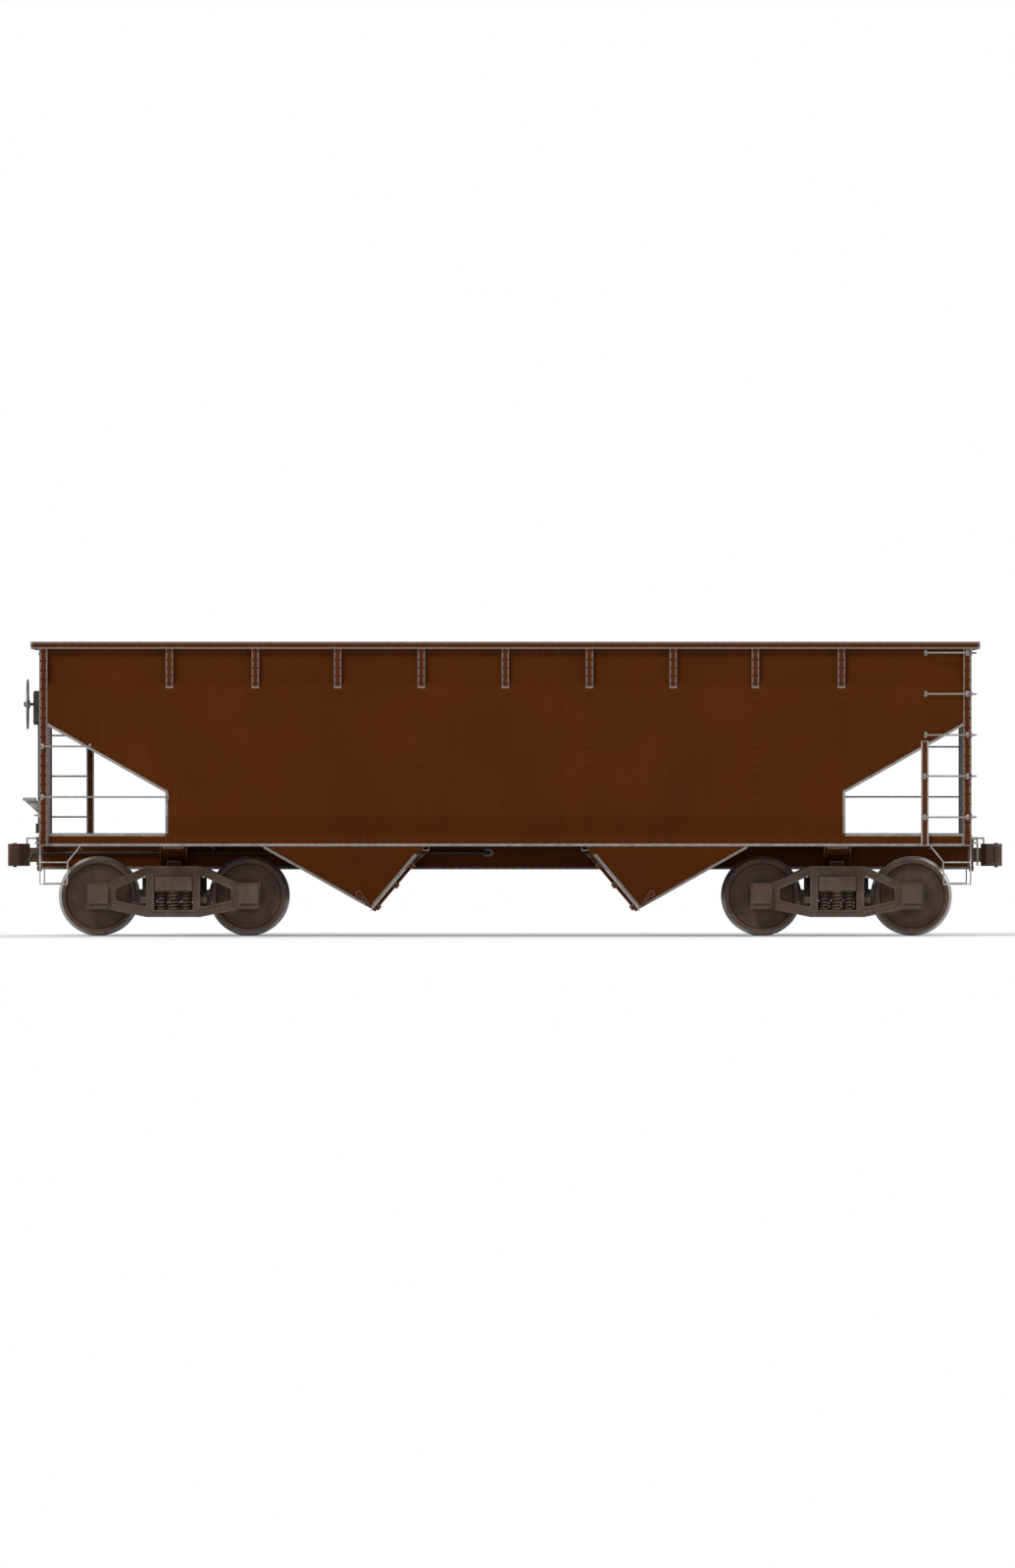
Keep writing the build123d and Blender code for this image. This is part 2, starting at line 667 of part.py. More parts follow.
def build_posts():
    """Corner posts and the pair of posts that carry each end sheet."""
    flange = box((END_SHEET_X, END_X), (SIDE_FACE, POST_FACE), (SILL_BOTTOM, CHORD_UNDER))
    web_y = (SIDE_FACE - CORNER_WEB, POST_FACE)
    web = box((END_X - CORNER_WEB_PLATE, END_X), web_y, (SILL_TOP, CHORD_UNDER))
    corner = fuse(flange, web)
    y0, y1 = BRAKE_Y - END_POST_HALF, BRAKE_Y + END_POST_HALF
    line = [(END_SHEET_X, y0), (POST_OUT_X, y0), (POST_OUT_X, y1), (END_SHEET_X, y1)]
    post = bent_plate(line, END_POST_PLATE, "z", SILL_TOP, CHORD_UNDER)
    keep("body_posts", *four_corners(corner, post))


def door_bar(down, out, low, high):
    """A bar across or along the door, from (low, high) pairs down it, out of it and across the wagon."""
    corners = [door_point(down[i], out[j]) for i, j in ((0, 0), (1, 0), (1, 1), (0, 1))]
    return prism(corners, "y", low, high)


def door_outer_y(down):
    share = down / DOOR_LENGTH
    top = INSET_Y - (SILL_BOTTOM - DOOR_TOP_Z) / (SILL_BOTTOM - DOOR_TIP_Z) * (INSET_Y - CHUTE_FOOT_Y)
    return top + (CHUTE_FOOT_Y - top) * share + SHEET


def ridge_under(x):
    """Height of the ridge's underside at a distance from the wagon's middle."""
    return DOOR_TOP_Z + (DOOR_TOP_X - x) * (RIDGE_Z - DOOR_TOP_Z) / DOOR_TOP_X


def hopper_door():
    """The left door of the +X bay: a flanged plate with cross and lengthwise ribs and two hinge lugs."""
    inner, outer = DOOR_INNER_Y, INSET_Y
    pieces = [door_bar((0, DOOR_LENGTH + DOOR_LIP), (DOOR_GAP, DOOR_GAP + DOOR_PLATE), inner, outer)]
    for share in DOOR_CROSS_RIBS:
        down = DOOR_LENGTH * share
        band = (down, down + CROSS_RIB_WIDTH)
        pieces.append(door_bar(band, (DOOR_GAP, DOOR_GAP + RIB_DEEP), inner, outer))
    for y in RIB_Y:
        pieces.append(door_bar((0, DOOR_LENGTH), (DOOR_GAP, DOOR_GAP + RIB_SHALLOW), y, y + PLATE))
    head_y = door_outer_y(0)
    foot = (CHUTE_FOOT_Y + SHEET, DOOR_TIP_Z - 2 * DOOR_LIP)
    trim = [(0, -FAR), (foot[0], -FAR), foot, (head_y, DOOR_TOP_Z), (head_y, FAR), (0, FAR)]
    door = fuse(*pieces) & prism(trim, "x", 0, FAR)
    for y in HINGE_Y:
        eye = pin_along("y", HINGE, EYE_RADIUS, y - LUG_HALF, y + LUG_HALF)
        depth = (DOOR_GAP, DOOR_GAP + HINGE_DROP)
        strap = door_bar((-HINGE_SETBACK, STRAP_LENGTH), depth, y - LUG_HALF, y + LUG_HALF)
        door = fuse(door, eye, strap)
    for y in HINGE_Y:
        door = door - pin_along("y", HINGE, PIN_RADIUS + PIN_CLEARANCE, y - LUG_HALF, y + LUG_HALF)
    return door


def hinge_set(y):
    """The two ears and the pin that carry one lug of a door, hung from the header beam."""
    x, z = HINGE
    near = LUG_HALF + EAR_GAP
    far = near + EAR_PLATE
    arm = [(x - EYE_RADIUS, z), (x + 22, z + 14), (HEADER_X[1], HEADER_Z), (HEADER_X[0], HEADER_Z)]
    pin = pin_along("y", HINGE, PIN_RADIUS, y - far - PIN_HEAD, y + far + PIN_HEAD)
    ears = []
    for low, high in ((y - far, y - near), (y + near, y + far)):
        ears.append(fuse(pin_along("y", HINGE, EYE_RADIUS, low, high), prism(arm, "y", low, high)))
    return fuse(pin, *ears)


def build_doors():
    door = hopper_door()
    for node, moved in (("a_left", door), ("a_right", swap_sides(door))):
        keep(f"door_{node}", moved)
        keep(f"door_{node.replace('a', 'b', 1)}", swap_ends(moved))
    keep("door_hinges", *four_corners(*[hinge_set(y) for y in HINGE_Y]))
    x0, x1 = HEADER_X
    top = HEADER_Z + PLATE
    beam = [(x0, HEADER_Z), (x1, HEADER_Z), (x1, top), (x0 + PLATE, top)]
    beam += [(x0 + PLATE, ridge_under(x0 + PLATE)), (x0, ridge_under(x0))]
    keep("header_beams", *four_corners(prism(beam, "y", SILL_HALF, INSET_Y - PLATE)))


def symmetric(half):
    """A closed outline from its +X half, listed from the top down."""
    return half + [(-x, z) for x, z in reversed(half)]


def side_frame():
    """One cast side frame with its journal boxes, spring opening and two side windows."""
    boxes = WHEELBASE / 2
    half = [
        (FRAME_WAIST, FRAME_TOP),
        (boxes - BOX_HALF, AXLE_Z + BOX_RISE),
        (boxes + BOX_HALF, AXLE_Z + BOX_RISE),
        (boxes + BOX_HALF, AXLE_Z - BOX_RISE),
        (boxes - BOX_HALF, AXLE_Z - BOX_RISE),
        (FRAME_WAIST, FRAME_BOTTOM),
    ]
    low, high = JOURNAL_Y - FRAME_HALF_WIDTH, JOURNAL_Y + FRAME_HALF_WIDTH
    frame = prism(symmetric(half), "y", low, high)
    opening = symmetric([(WINDOW_HALF, FRAME_TOP - CHORD_THICKNESS), (WINDOW_HALF, SPRING_SEAT)])
    side = [
        (FRAME_WAIST, FRAME_TOP - CHORD_THICKNESS),
        (WINDOW_END, AXLE_Z + BOX_RISE / 2),
        (WINDOW_END, AXLE_Z - BOX_RISE / 3),
        (FRAME_WAIST, SPRING_SEAT + WINDOW_CORNER),
    ]
    frame = frame - prism(opening, "y", low, high)
    for window in (side, [(-x, z) for x, z in side]):
        frame = frame - fillet(prism(window, "y", low, high).edges().filter_by(Axis.Y), WINDOW_CORNER)
    front = JOURNAL_Y + CASE_FRONT
    lid = [(front, AXLE_Z - 105), (front + LID_DEPTH, AXLE_Z - 80), (front + LID_DEPTH / 2, AXLE_Z + 120)]
    lid += [(front, AXLE_Z + 120)]
    for x in (-boxes, boxes):
        rise = (AXLE_Z - CASE_RISE, AXLE_Z + CASE_RISE)
        case = box((x - CASE_HALF, x + CASE_HALF), (JOURNAL_Y - CASE_HALF, front), rise)
        case = fillet(case.edges().filter_by(Axis.Y), WINDOW_CORNER)
        frame = fuse(frame, case, prism(lid, "x", x - LID_HALF, x + LID_HALF))
    for x in (-boxes, boxes):
        radius, end = JOURNAL_RADIUS + BEARING_CLEARANCE, JOURNAL_END + JOURNAL_END_GAP
        frame = frame - pin_along("y", (x, AXLE_Z), radius, 0, end)
    guide = box((270, BEAM_X + 40), (GUIDE_Y, JOURNAL_Y), (BEAM_Z - GUIDE_RISE, BEAM_Z + GUIDE_RISE))
    return fuse(frame, guide, swap_ends(guide))


def truck_bolster():
    """The cross-beam between the side frames, with its centre bowl and side bearings."""
    shoulder = BOLSTER_UNDER + BOLSTER_END_DEPTH
    half = [
        (BOWL_RIM_RADIUS + 30, BOLSTER_TOP),
        (820, shoulder),
        (BOLSTER_OUTER_Y, shoulder),
        (BOLSTER_OUTER_Y, BOLSTER_UNDER),
        (JOURNAL_Y - 130, BOLSTER_UNDER),
        (520, BOLSTER_UNDER - BOLSTER_BELLY),
    ]
    beam = prism(symmetric(half), "x", -BOLSTER_HALF, BOLSTER_HALF)
    bowl = pin_along("z", (0, 0), BOWL_RIM_RADIUS, BOLSTER_TOP, BOWL_FLOOR + BOWL_RIM_RISE)
    hollow = CENTRE_PLATE_RADIUS + BOWL_CLEARANCE
    bowl = bowl - pin_along("z", (0, 0), hollow, BOWL_FLOOR, BOWL_FLOOR + 2 * BOWL_RIM_RISE)
    middle = SIDE_BEARING_Y
    pad = box((-95, 95), (middle - 50, middle + 50), (shoulder - 15, SIDE_BEARING_TOP))
    whole = fuse(beam, bowl, *both_sides(pad))
    return whole - pin_along("z", (0, 0), KING_PIN_RADIUS + KING_PIN_CLEARANCE, 0, FAR)


def spring(x, y):
    """A coil spring as the ringed column that its turns outline."""
    outer, inner, turns = SPRING_RADIUS, SPRING_RADIUS - 12, 6
    pitch = SPRING_HEIGHT / turns
    points = [(0, 0)]
    for i in range(turns):
        points += [(inner, i * pitch), (outer, i * pitch + pitch * 0.3), (outer, i * pitch + pitch * 0.7)]
    points += [(inner, SPRING_HEIGHT), (0, SPRING_HEIGHT)]
    face = make_face(Polyline(*[(x + r, y, SPRING_SEAT + z) for r, z in points], close=True))
    return revolve(face, Axis((x, y, 0), (0, 0, 1)))


def brake_shoe():
    """The +X, +Y shoe on its head at the end of a beam, curved to stand clear of the tread."""
    centre = (WHEELBASE / 2, AXLE_Z)
    face = WHEEL_RADIUS + SHOE_GAP
    y0 = WHEEL_BACK_Y + FLANGE_WIDTH + SHOE_INSET
    y1 = y0 + SHOE_WIDTH
    ring = pin_along("y", centre, face + SHOE_THICKNESS, y0, y1) - pin_along("y", centre, face, y0, y1)
    shoe = ring & prism([centre, (0, AXLE_Z + 130), (0, AXLE_Z - 250)], "y", y0, y1)
    head = box((BEAM_X - 10, BEAM_X + 48), (y0 + 10, y1 - 10), (BEAM_Z - 70, BEAM_Z + 70))
    return fuse(shoe, head - pin_along("y", centre, face + SHOE_THICKNESS / 2, y0, y1))


def brake_rigging():
    """Two beams with their shoes, the truck levers and the rod that joins them under the bolster."""
    rod_z = LEVER_LOW + 25
    pieces = [rod([(-BEAM_X, 0, rod_z), (BEAM_X, 0, rod_z)], 14), *four_corners(brake_shoe())]
    for x in (-BEAM_X, BEAM_X):
        reach = GUIDE_Y - BEARING_CLEARANCE
        pieces.append(pin_along("y", (x, BEAM_Z), BEAM_RADIUS, -reach, reach))
        pieces.append(box((x - LEVER_HALF, x + LEVER_HALF), (-14, 14), (LEVER_LOW, BOLSTER_TOP - 40)))
    return fuse(*pieces)


def wheel():
    """The +Y wheel of a set: hub, dished plate, rim, coned tread and flange."""
    b, r = WHEEL_BACK_Y, WHEEL_RADIUS
    f, front = b + FLANGE_WIDTH, b + RIM_WIDTH
    hub, hub_end = HUB_RADIUS, b + HUB_LENGTH
    rim = r - RIM_THICKNESS
    tip = r + FLANGE_DEPTH
    profile = [
        (b - 8, WHEEL_SEAT_RADIUS),
        (hub_end, WHEEL_SEAT_RADIUS),
        (hub_end, hub - 10),
        (hub_end - 10, hub),
        (b + 105, hub + 4),
        (b + 92, hub + 52),
        (b + 88, rim - 72),
        (b + 104, rim - 10),
        (front - 6, rim),
        (front, rim + 6),
        (front, r - 9),
        (front - 6, r - 4),
        (f + 12, r),
        (f, r + 8),
        (b + 22, tip - 3),
        (b + 12, tip),
        (b + 4, tip - 5),
        (b, r + 8),
        (b, rim),
        (b + 60, rim - 14),
        (b + 62, rim - 72),
        (b + 66, hub + 52),
        (b + 70, hub + 4),
        (b, hub),
        (b - 8, hub - 8),
    ]
    return turned(profile, (0, AXLE_Z))


def axle():
    seat_end = WHEEL_BACK_Y + HUB_LENGTH
    half = [
        (0, AXLE_RADIUS),
        (WHEEL_BACK_Y - 177, AXLE_RADIUS + 2),
        (WHEEL_BACK_Y - 20, WHEEL_SEAT_RADIUS),
        (seat_end, WHEEL_SEAT_RADIUS),
        (seat_end + 4, JOURNAL_RADIUS + 6),
        (seat_end + 10, JOURNAL_RADIUS),
        (JOURNAL_END, JOURNAL_RADIUS),
        (JOURNAL_END, 0),
    ]
    return turned([(-y, r) for y, r in reversed(half)] + half[1:], (0, AXLE_Z))


def build_trucks():
    frames = both_sides(side_frame())
    bolster = truck_bolster()
    springs = both_sides(*[spring(x, JOURNAL_Y + y) for x, y in SPRING_PLACES])
    rigging = brake_rigging()
    wheels, shaft = both_sides(wheel()), axle()
    for end, sign in (("a", 1), ("b", -1)):
        put = Pos(sign * TRUCK_CENTRE, 0, 0)
        keep(f"truck_{end}_side_frames", *[put * f for f in frames])
        keep(f"truck_{end}_bolster", put * bolster)
        keep(f"truck_{end}_springs", *[put * s for s in springs])
        keep(f"truck_{end}_brake_rigging", put * rigging)
        for number, x in ((1, WHEELBASE / 2), (2, -WHEELBASE / 2)):
            put = Pos(sign * (TRUCK_CENTRE + x), 0, 0)
            keep(f"axle_{end}{number}", put * shaft)
            keep(f"wheels_{end}{number}", *[put * w for w in wheels])


def outline_z(points, low, high):
    """A plan outline measured from the end of the sill, pulled between two heights from the coupler's."""
    return prism([(END_X + x, y) for x, y in points], "z", COUPLER_Z + low, COUPLER_Z + high)


def coupler():
    """The +X coupler: shank, head with guard arm, the two lugs and the knuckle's pin."""
    w = SHANK_HALF
    shank = outline_z([(-SHANK_LENGTH, -w), (180, -w), (180, w), (-SHANK_LENGTH, w)], -SHANK_RISE, SHANK_RISE)
    guard = [(130, -70), (190, -150), (HEAD_WALL_X, -165), (HEAD_WALL_X, 45), (300, 85), (362, 150)]
    guard += [(372, 190), (350, 215), (250, 175), (180, 110), (130, 70)]
    lug = [(230, -165), (320, -160), (336, -115), (320, -78), (HEAD_WALL_X, -60), (230, -60)]
    x, y = END_X + KNUCKLE_PIN[0], KNUCKLE_PIN[1]
    pin = pin_along("z", (x, y), KNUCKLE_PIN_RADIUS, COUPLER_Z - HEAD_RISE - 15, COUPLER_Z + HEAD_RISE + 10)
    lugs = [outline_z(lug, LUG_RISE, HEAD_RISE), outline_z(lug, -HEAD_RISE, -LUG_RISE)]
    return fuse(shank, outline_z(guard, -HEAD_RISE, HEAD_RISE), *lugs, pin)


def knuckle():
    """The hook that turns on the coupler's pin."""
    hook = [(300, -147), (330, -147), (360, -122), (366, -60), (352, -18), (320, -10), (306, -48), (300, -83)]
    x, y = END_X + KNUCKLE_PIN[0], KNUCKLE_PIN[1]
    low, high = COUPLER_Z - KNUCKLE_RISE, COUPLER_Z + KNUCKLE_RISE
    eye = pin_along("z", (x, y), KNUCKLE_EYE, low, high)
    bore = pin_along("z", (x, y), KNUCKLE_PIN_RADIUS + PIN_CLEARANCE, low, high)
    return fuse(outline_z(hook, -KNUCKLE_RISE, KNUCKLE_RISE), eye) - bore


def build_couplers():
    for node, shape in (("coupler", coupler()), ("knuckle", knuckle())):
        keep(f"{node}_a", shape)
        keep(f"{node}_b", half_turn(shape))
    across = (END_X, END_X + STRIKER_PLATE)
    plate = box(across, (-STRIKER_HALF, STRIKER_HALF), (CENTRE_BOTTOM - 20, SILL_BOTTOM + 90))
    mouth_z = (COUPLER_Z - SHANK_RISE, COUPLER_Z + SHANK_RISE + MOUTH_HEADROOM)
    striker = plate - box(across, (-MOUTH_HALF, MOUTH_HALF), mouth_z)
    keep("strikers", striker, swap_ends(striker))
    inner = SILL_HALF - PLATE
    back = END_X - SHANK_LENGTH
    gear_z = (CENTRE_BOTTOM + 20, CENTRE_TOP - PLATE)
    gear = box((back - DRAFT_GEAR_LENGTH, back), (-inner, inner), gear_z)
    keep("draft_gears", gear, swap_ends(gear))


def side_step():
    """A two-tread step of flat bar under the side at its +X, +Y corner."""
    foot, inner = TREADS_Z[0], STEP_INNER_X
    y0, y1 = STEP_Y - STEP_WIDTH / 2, STEP_Y + STEP_WIDTH / 2
    line = [(END_X, SILL_BOTTOM), (END_X, foot), (inner, foot), (inner - 8, TREADS_Z[1] + 10)]
    line += [(inner - STEP_SPLAY, SILL_BOTTOM)]
    frame = bent_plate(line, -STEP_BAR, "y", y0, y1)
    tread = box((inner, END_X - STEP_BAR), (y0, y1), (TREADS_Z[1], TREADS_Z[1] + STEP_BAR))
    return fuse(frame, tread) & box((0, FAR), (0, FAR), (0, SILL_BOTTOM))


def side_grab(z, start, start_y, end=RUNG_END_X):
    """A bent bar on the +Y side between two places along it, its legs turned in to the faces there."""
    points = [(start, start_y, z), (start, RUNG_Y, z), (end, RUNG_Y, z), (end, POST_FACE, z)]
    return rod(points, RUNG_RADIUS, RUNG_BEND)


def end_grab(z, y0, y1):
    """A bent bar on the +X end between two places across it."""
    points = [(END_X, y0, z), (RUNG_OUT_X, y0, z), (RUNG_OUT_X, y1, z), (END_X, y1, z)]
    return rod(points, RUNG_RADIUS, RUNG_BEND)


def stile_rungs():
    """The +Y side's lower rungs, from the ladder's stile to the corner post."""
    middle = (STILE_X[0] + STILE_X[1]) / 2
    return [side_grab(z, middle, POST_FACE) for z in RUNGS_Z if z < STILE_TOP]


def sheet_rungs():
    """The +Y side's upper rungs, from the side sheet's outer face to the corner post."""
    within = prism([(0, SILL_BOTTOM), *SIDE_OUTER, (0, CHORD_UNDER)], "x", 0, FAR)
    return [side_grab(z, RUNG_START_X, INSET_Y) - within for z in RUNGS_Z if z >= STILE_TOP]


def build_climbing():
    keep("sill_steps", *four_corners(side_step()))

    # The ladder corner is +X, -Y, and its half turn.
    x0, x1 = STILE_X
    flange = box((x0, x1), (SIDE_FACE, POST_FACE), (SILL_BOTTOM, STILE_TOP))
    foot = box((x1 - SHEET, x1), (INSET_Y, SIDE_FACE), (SILL_BOTTOM, SILL_TOP))
    side_stile = fuse(flange, foot)
    stile_x = (END_X - CORNER_WEB_PLATE, END_X)
    stile_y = (END_STILE_Y - END_STILE_HALF, END_STILE_Y + END_STILE_HALF)
    end_stile = box(stile_x, stile_y, (SILL_TOP, CHORD_UNDER))
    end_rungs = [end_grab(z, END_STILE_Y, END_RUNG_Y) for z in RUNGS_Z]
    ladder = [fuse(side_stile, *stile_rungs()), *sheet_rungs(), fuse(end_stile, *end_rungs)]
    ladder = [swap_sides(s) for s in ladder]
    keep("ladders", *ladder, *[half_turn(s) for s in ladder])

    # The other corner, +X, +Y, has one grab iron, a long rail across the open end, and low end grabs.
    grab = side_grab(RAIL + GRAB_HEIGHT, STILE_X[0], SIDE_FACE, GRAB_END_X)
    rail = side_grab(RAIL + OPEN_END_RAIL_HEIGHT, SIDE_EDGE_X - 20, SIDE_FACE, GRAB_END_X)
    across = end_grab(RAIL + END_GRAB_HEIGHT, END_STILE_Y, END_RUNG_Y)
    bracket = box(stile_x, stile_y, (SILL_TOP, RAIL + END_GRAB_HEIGHT + END_STILE_HALF * 2))
    low, y0, y1 = SILL_BOTTOM + LOW_GRAB_RISE, *LOW_GRAB_Y
    sills = [end_grab(low, s * y0, s * y1) for s in (-1, 1)]
    grabs = [grab, rail, fuse(across, bracket), *sills]
    keep("grab_irons", *grabs, *[half_turn(g) for g in grabs])


def brake_wheel():
    """Rim, dished spokes and hub of the hand brake's wheel, which turns about X."""
    x, y, z = BRAKE_WHEEL_X, BRAKE_Y, BRAKE_WHEEL_Z
    across = Plane(origin=(x, y, z), x_dir=(0, 1, 0), z_dir=(1, 0, 0))
    rim = across * Torus(BRAKE_WHEEL_RADIUS, BRAKE_RIM_RADIUS)
    hub = pin_along("x", (y, z), BRAKE_HUB_RADIUS, x - 22, x + 30)
    pieces = [rim, hub]
    for i in range(5):
        a = math.radians(90 + 72 * i)
        reach = BRAKE_WHEEL_RADIUS
        pieces.append(rod([(x + 10, y, z), (x, y + reach * math.cos(a), z + reach * math.sin(a))], 11))
    return fuse(*pieces) - pin_along("x", (y, z), SHAFT_RADIUS + PIN_CLEARANCE, x - 22, x + 30)


def build_hand_brake():
    keep("brake_wheel", brake_wheel())
    y, z = BRAKE_Y, BRAKE_WHEEL_Z
    back = -(END_X + BRAKE_CASE_DEPTH)
    across = (y - BRAKE_CASE_HALF, y + BRAKE_CASE_HALF)
    case = box((back, -POST_OUT_X), across, (z - BRAKE_CASE_DROP, z + BRAKE_CASE_RISE))
    case = fillet(case.edges().filter_by(Axis.X), BRAKE_CASE_CORNER)
    shaft = pin_along("x", (y, z), SHAFT_RADIUS, BRAKE_WHEEL_X - SHAFT_END, back + 5)
    nut_x = BRAKE_WHEEL_X - SHAFT_END - NUT_DEPTH + 6
    nut = pin_along("x", (y, z), SHAFT_RADIUS + 10, nut_x, nut_x + NUT_DEPTH)
    rod_x = -(END_X + CHAIN_ROD_OUT)
    rod_z = (SILL_TOP + CRANK_RISE / 2, z - BRAKE_CASE_DROP + 5)
    chain_rod = pin_along("z", (rod_x, y), CHAIN_ROD_RADIUS, *rod_z)
    crank_x = (rod_x - CRANK_REACH, -POST_OUT_X)
    crank = box(crank_x, (y - CHAIN_ROD_RADIUS, y + CHAIN_ROD_RADIUS), (SILL_TOP, SILL_TOP + CRANK_RISE))
    keep("hand_brake_gear", fuse(case, shaft, nut, chain_rod, crank))
    deck_x = (-(END_X + BRAKE_STEP_REACH), -(END_X + BRAKE_STEP_SETBACK))
    deck_y = (y - BRAKE_STEP_Y[0], y + BRAKE_STEP_Y[1])
    pieces = [box(deck_x, deck_y, (BRAKE_STEP_Z, BRAKE_STEP_Z + BRAKE_STEP_DECK))]
    for side in (-1, 1):
        stay_y = y + side * (END_POST_HALF - CHAIN_ROD_RADIUS)
        tip = (-(END_X + BRAKE_STEP_REACH - STAY_PLATE * 1.5), BRAKE_STEP_Z)
        stay = [(-POST_OUT_X, BRAKE_STEP_Z), tip, (-POST_OUT_X, BRAKE_STEP_Z - STAY_DROP)]
        pieces.append(prism(stay, "y", stay_y - STAY_PLATE / 2, stay_y + STAY_PLATE / 2))
    keep("brake_step", fuse(*pieces))


def tank_block(y, z, margin=0.0):
    """A block on a tank beam, from its (low, high) pairs across the wagon and up it."""
    half = TANK_BEAM_HALF + margin
    return box((TANK_X - half, TANK_X + half), y, z)


def build_air_brake():
    """Reservoir on one side of the sill and cylinder on the other, each on a beam, and the brake pipe."""
    x, z = TANK_X, TANK_BEAM_Z + TANK_RADIUS
    beam = tank_block((SILL_HALF, INSET_Y - PLATE), (TANK_BEAM_Z - TANK_BEAM_PLATE, TANK_BEAM_Z))
    seat = (TANK_BEAM_Z, z - TANK_RADIUS * 0.45)
    y0, y1 = TANK_Y
    domes = [(y0, 0), (y0, TANK_NOSE), (y0 + TANK_BOW, TANK_RADIUS)]
    domes += [(y1 - TANK_BOW, TANK_RADIUS), (y1, TANK_NOSE), (y1, 0)]
    keep("air_reservoir", fuse(turned(domes, (x, z)), beam, tank_block(TANK_SADDLE_Y, seat)))
    foot = tank_block(CYLINDER_FOOT_Y, seat, VALVE_MARGIN)
    valve = tank_block(VALVE_Y, (TANK_BEAM_Z, TANK_BEAM_Z + VALVE_RISE), VALVE_MARGIN)
    valve = fillet(valve.edges().filter_by(Axis.Z), VALVE_CORNER)
    keep("brake_cylinder", fuse(turned(CYLINDER_STAGES, (x, z)), foot, valve, swap_sides(beam)))

    # An angle cock turned down at each end of the pipe, with its handle across the top.
    near, tip = END_X + COCK_REACH, END_X + COCK_REACH + COCK_BEND
    bend = [(END_X, PIPE_Y, PIPE_Z), (near, PIPE_Y, PIPE_Z), (tip, PIPE_Y + COCK_BEND, PIPE_Z - COCK_DROP)]
    handle_z = (PIPE_Z + COCK_RADIUS - 9, PIPE_Z + COCK_RADIUS + 3)
    handle = box((near - 12, near + 12), (PIPE_Y - COCK_HANDLE, PIPE_Y), handle_z)
    cock = fuse(rod(bend, COCK_RADIUS, COCK_RADIUS - 3), handle)
    keep("brake_pipe", fuse(pipe_bore(PIPE_RADIUS), cock, half_turn(cock)))


def uncoupling_lever():
    """The bar from the +X coupler's lock out to its handle at the -Y side, and its bracket."""
    x, z, y = LEVER_X, UNCOUPLING_Z, -UNCOUPLING_Y
    bar = rod([(x, 20, z), (x, y, z), (x, y, COUPLER_Z - 120)], UNCOUPLING_RADIUS, 60)
    link = pin_along("z", (x + 92, 0), 9, COUPLER_Z + HEAD_RISE, z)
    arm = box((x - 10, x + 100), (-14, 14), (z - 10, z + 10))
    stay = box((END_X, x + 8), (-1010, -990), (z - 16, z + 16))
    return fuse(bar, arm, link, stay)


def door_lock():
    """The lock lever on the outer face of the +X, +Y chute, beside the foot of its door."""
    boss_at = (DOOR_TIP_X + LOCK_BOSS[0], DOOR_TIP_Z + LOCK_BOSS[1])
    boss = pin_along("y", boss_at, LOCK_BOSS_RADIUS, 0, FAR)
    bar = prism([(DOOR_TIP_X + x, DOOR_TIP_Z + z) for x, z in LOCK_BAR], "y", 0, FAR)
    skin = bent_plate(offset_line(CHUTE_LINE, -SHEET), -LOCK_PLATE, "x", 0, FAR)
    return fuse(boss, bar) & skin


def build_small_fittings():
    along = (TRUCK_CENTRE - JACKING_PAD_HALF, TRUCK_CENTRE + JACKING_PAD_HALF)
    under = (SILL_BOTTOM - JACKING_PAD_DEPTH, SILL_BOTTOM)
    keep("jacking_pads", *four_corners(box(along, (INSET_Y - SIDE_SILL_LIP, INSET_Y), under)))
    x0, x1 = TRUCK_CENTRE - SUPPORT_HALF, TRUCK_CENTRE + SUPPORT_HALF
    stand = [(x0, SILL_TOP), (x1, SILL_TOP), (x1, slope_z(x1)), (x0, slope_z(x0))]
    keep("slope_supports", *four_corners(prism(stand, "y", *SUPPORT_Y)))
    lever = uncoupling_lever()
    keep("uncoupling_levers", lever, half_turn(lever))
    keep("door_locks", *four_corners(door_lock()))


def main():
    os.makedirs("parts", exist_ok=True)
    build_underframe()
    build_bolsters()
    build_tub()
    build_stakes()
    build_chords()
    build_posts()
    build_doors()
    build_trucks()
    build_couplers()
    build_climbing()
    build_hand_brake()
    build_air_brake()
    build_small_fittings()


main()
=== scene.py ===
import math
from itertools import product

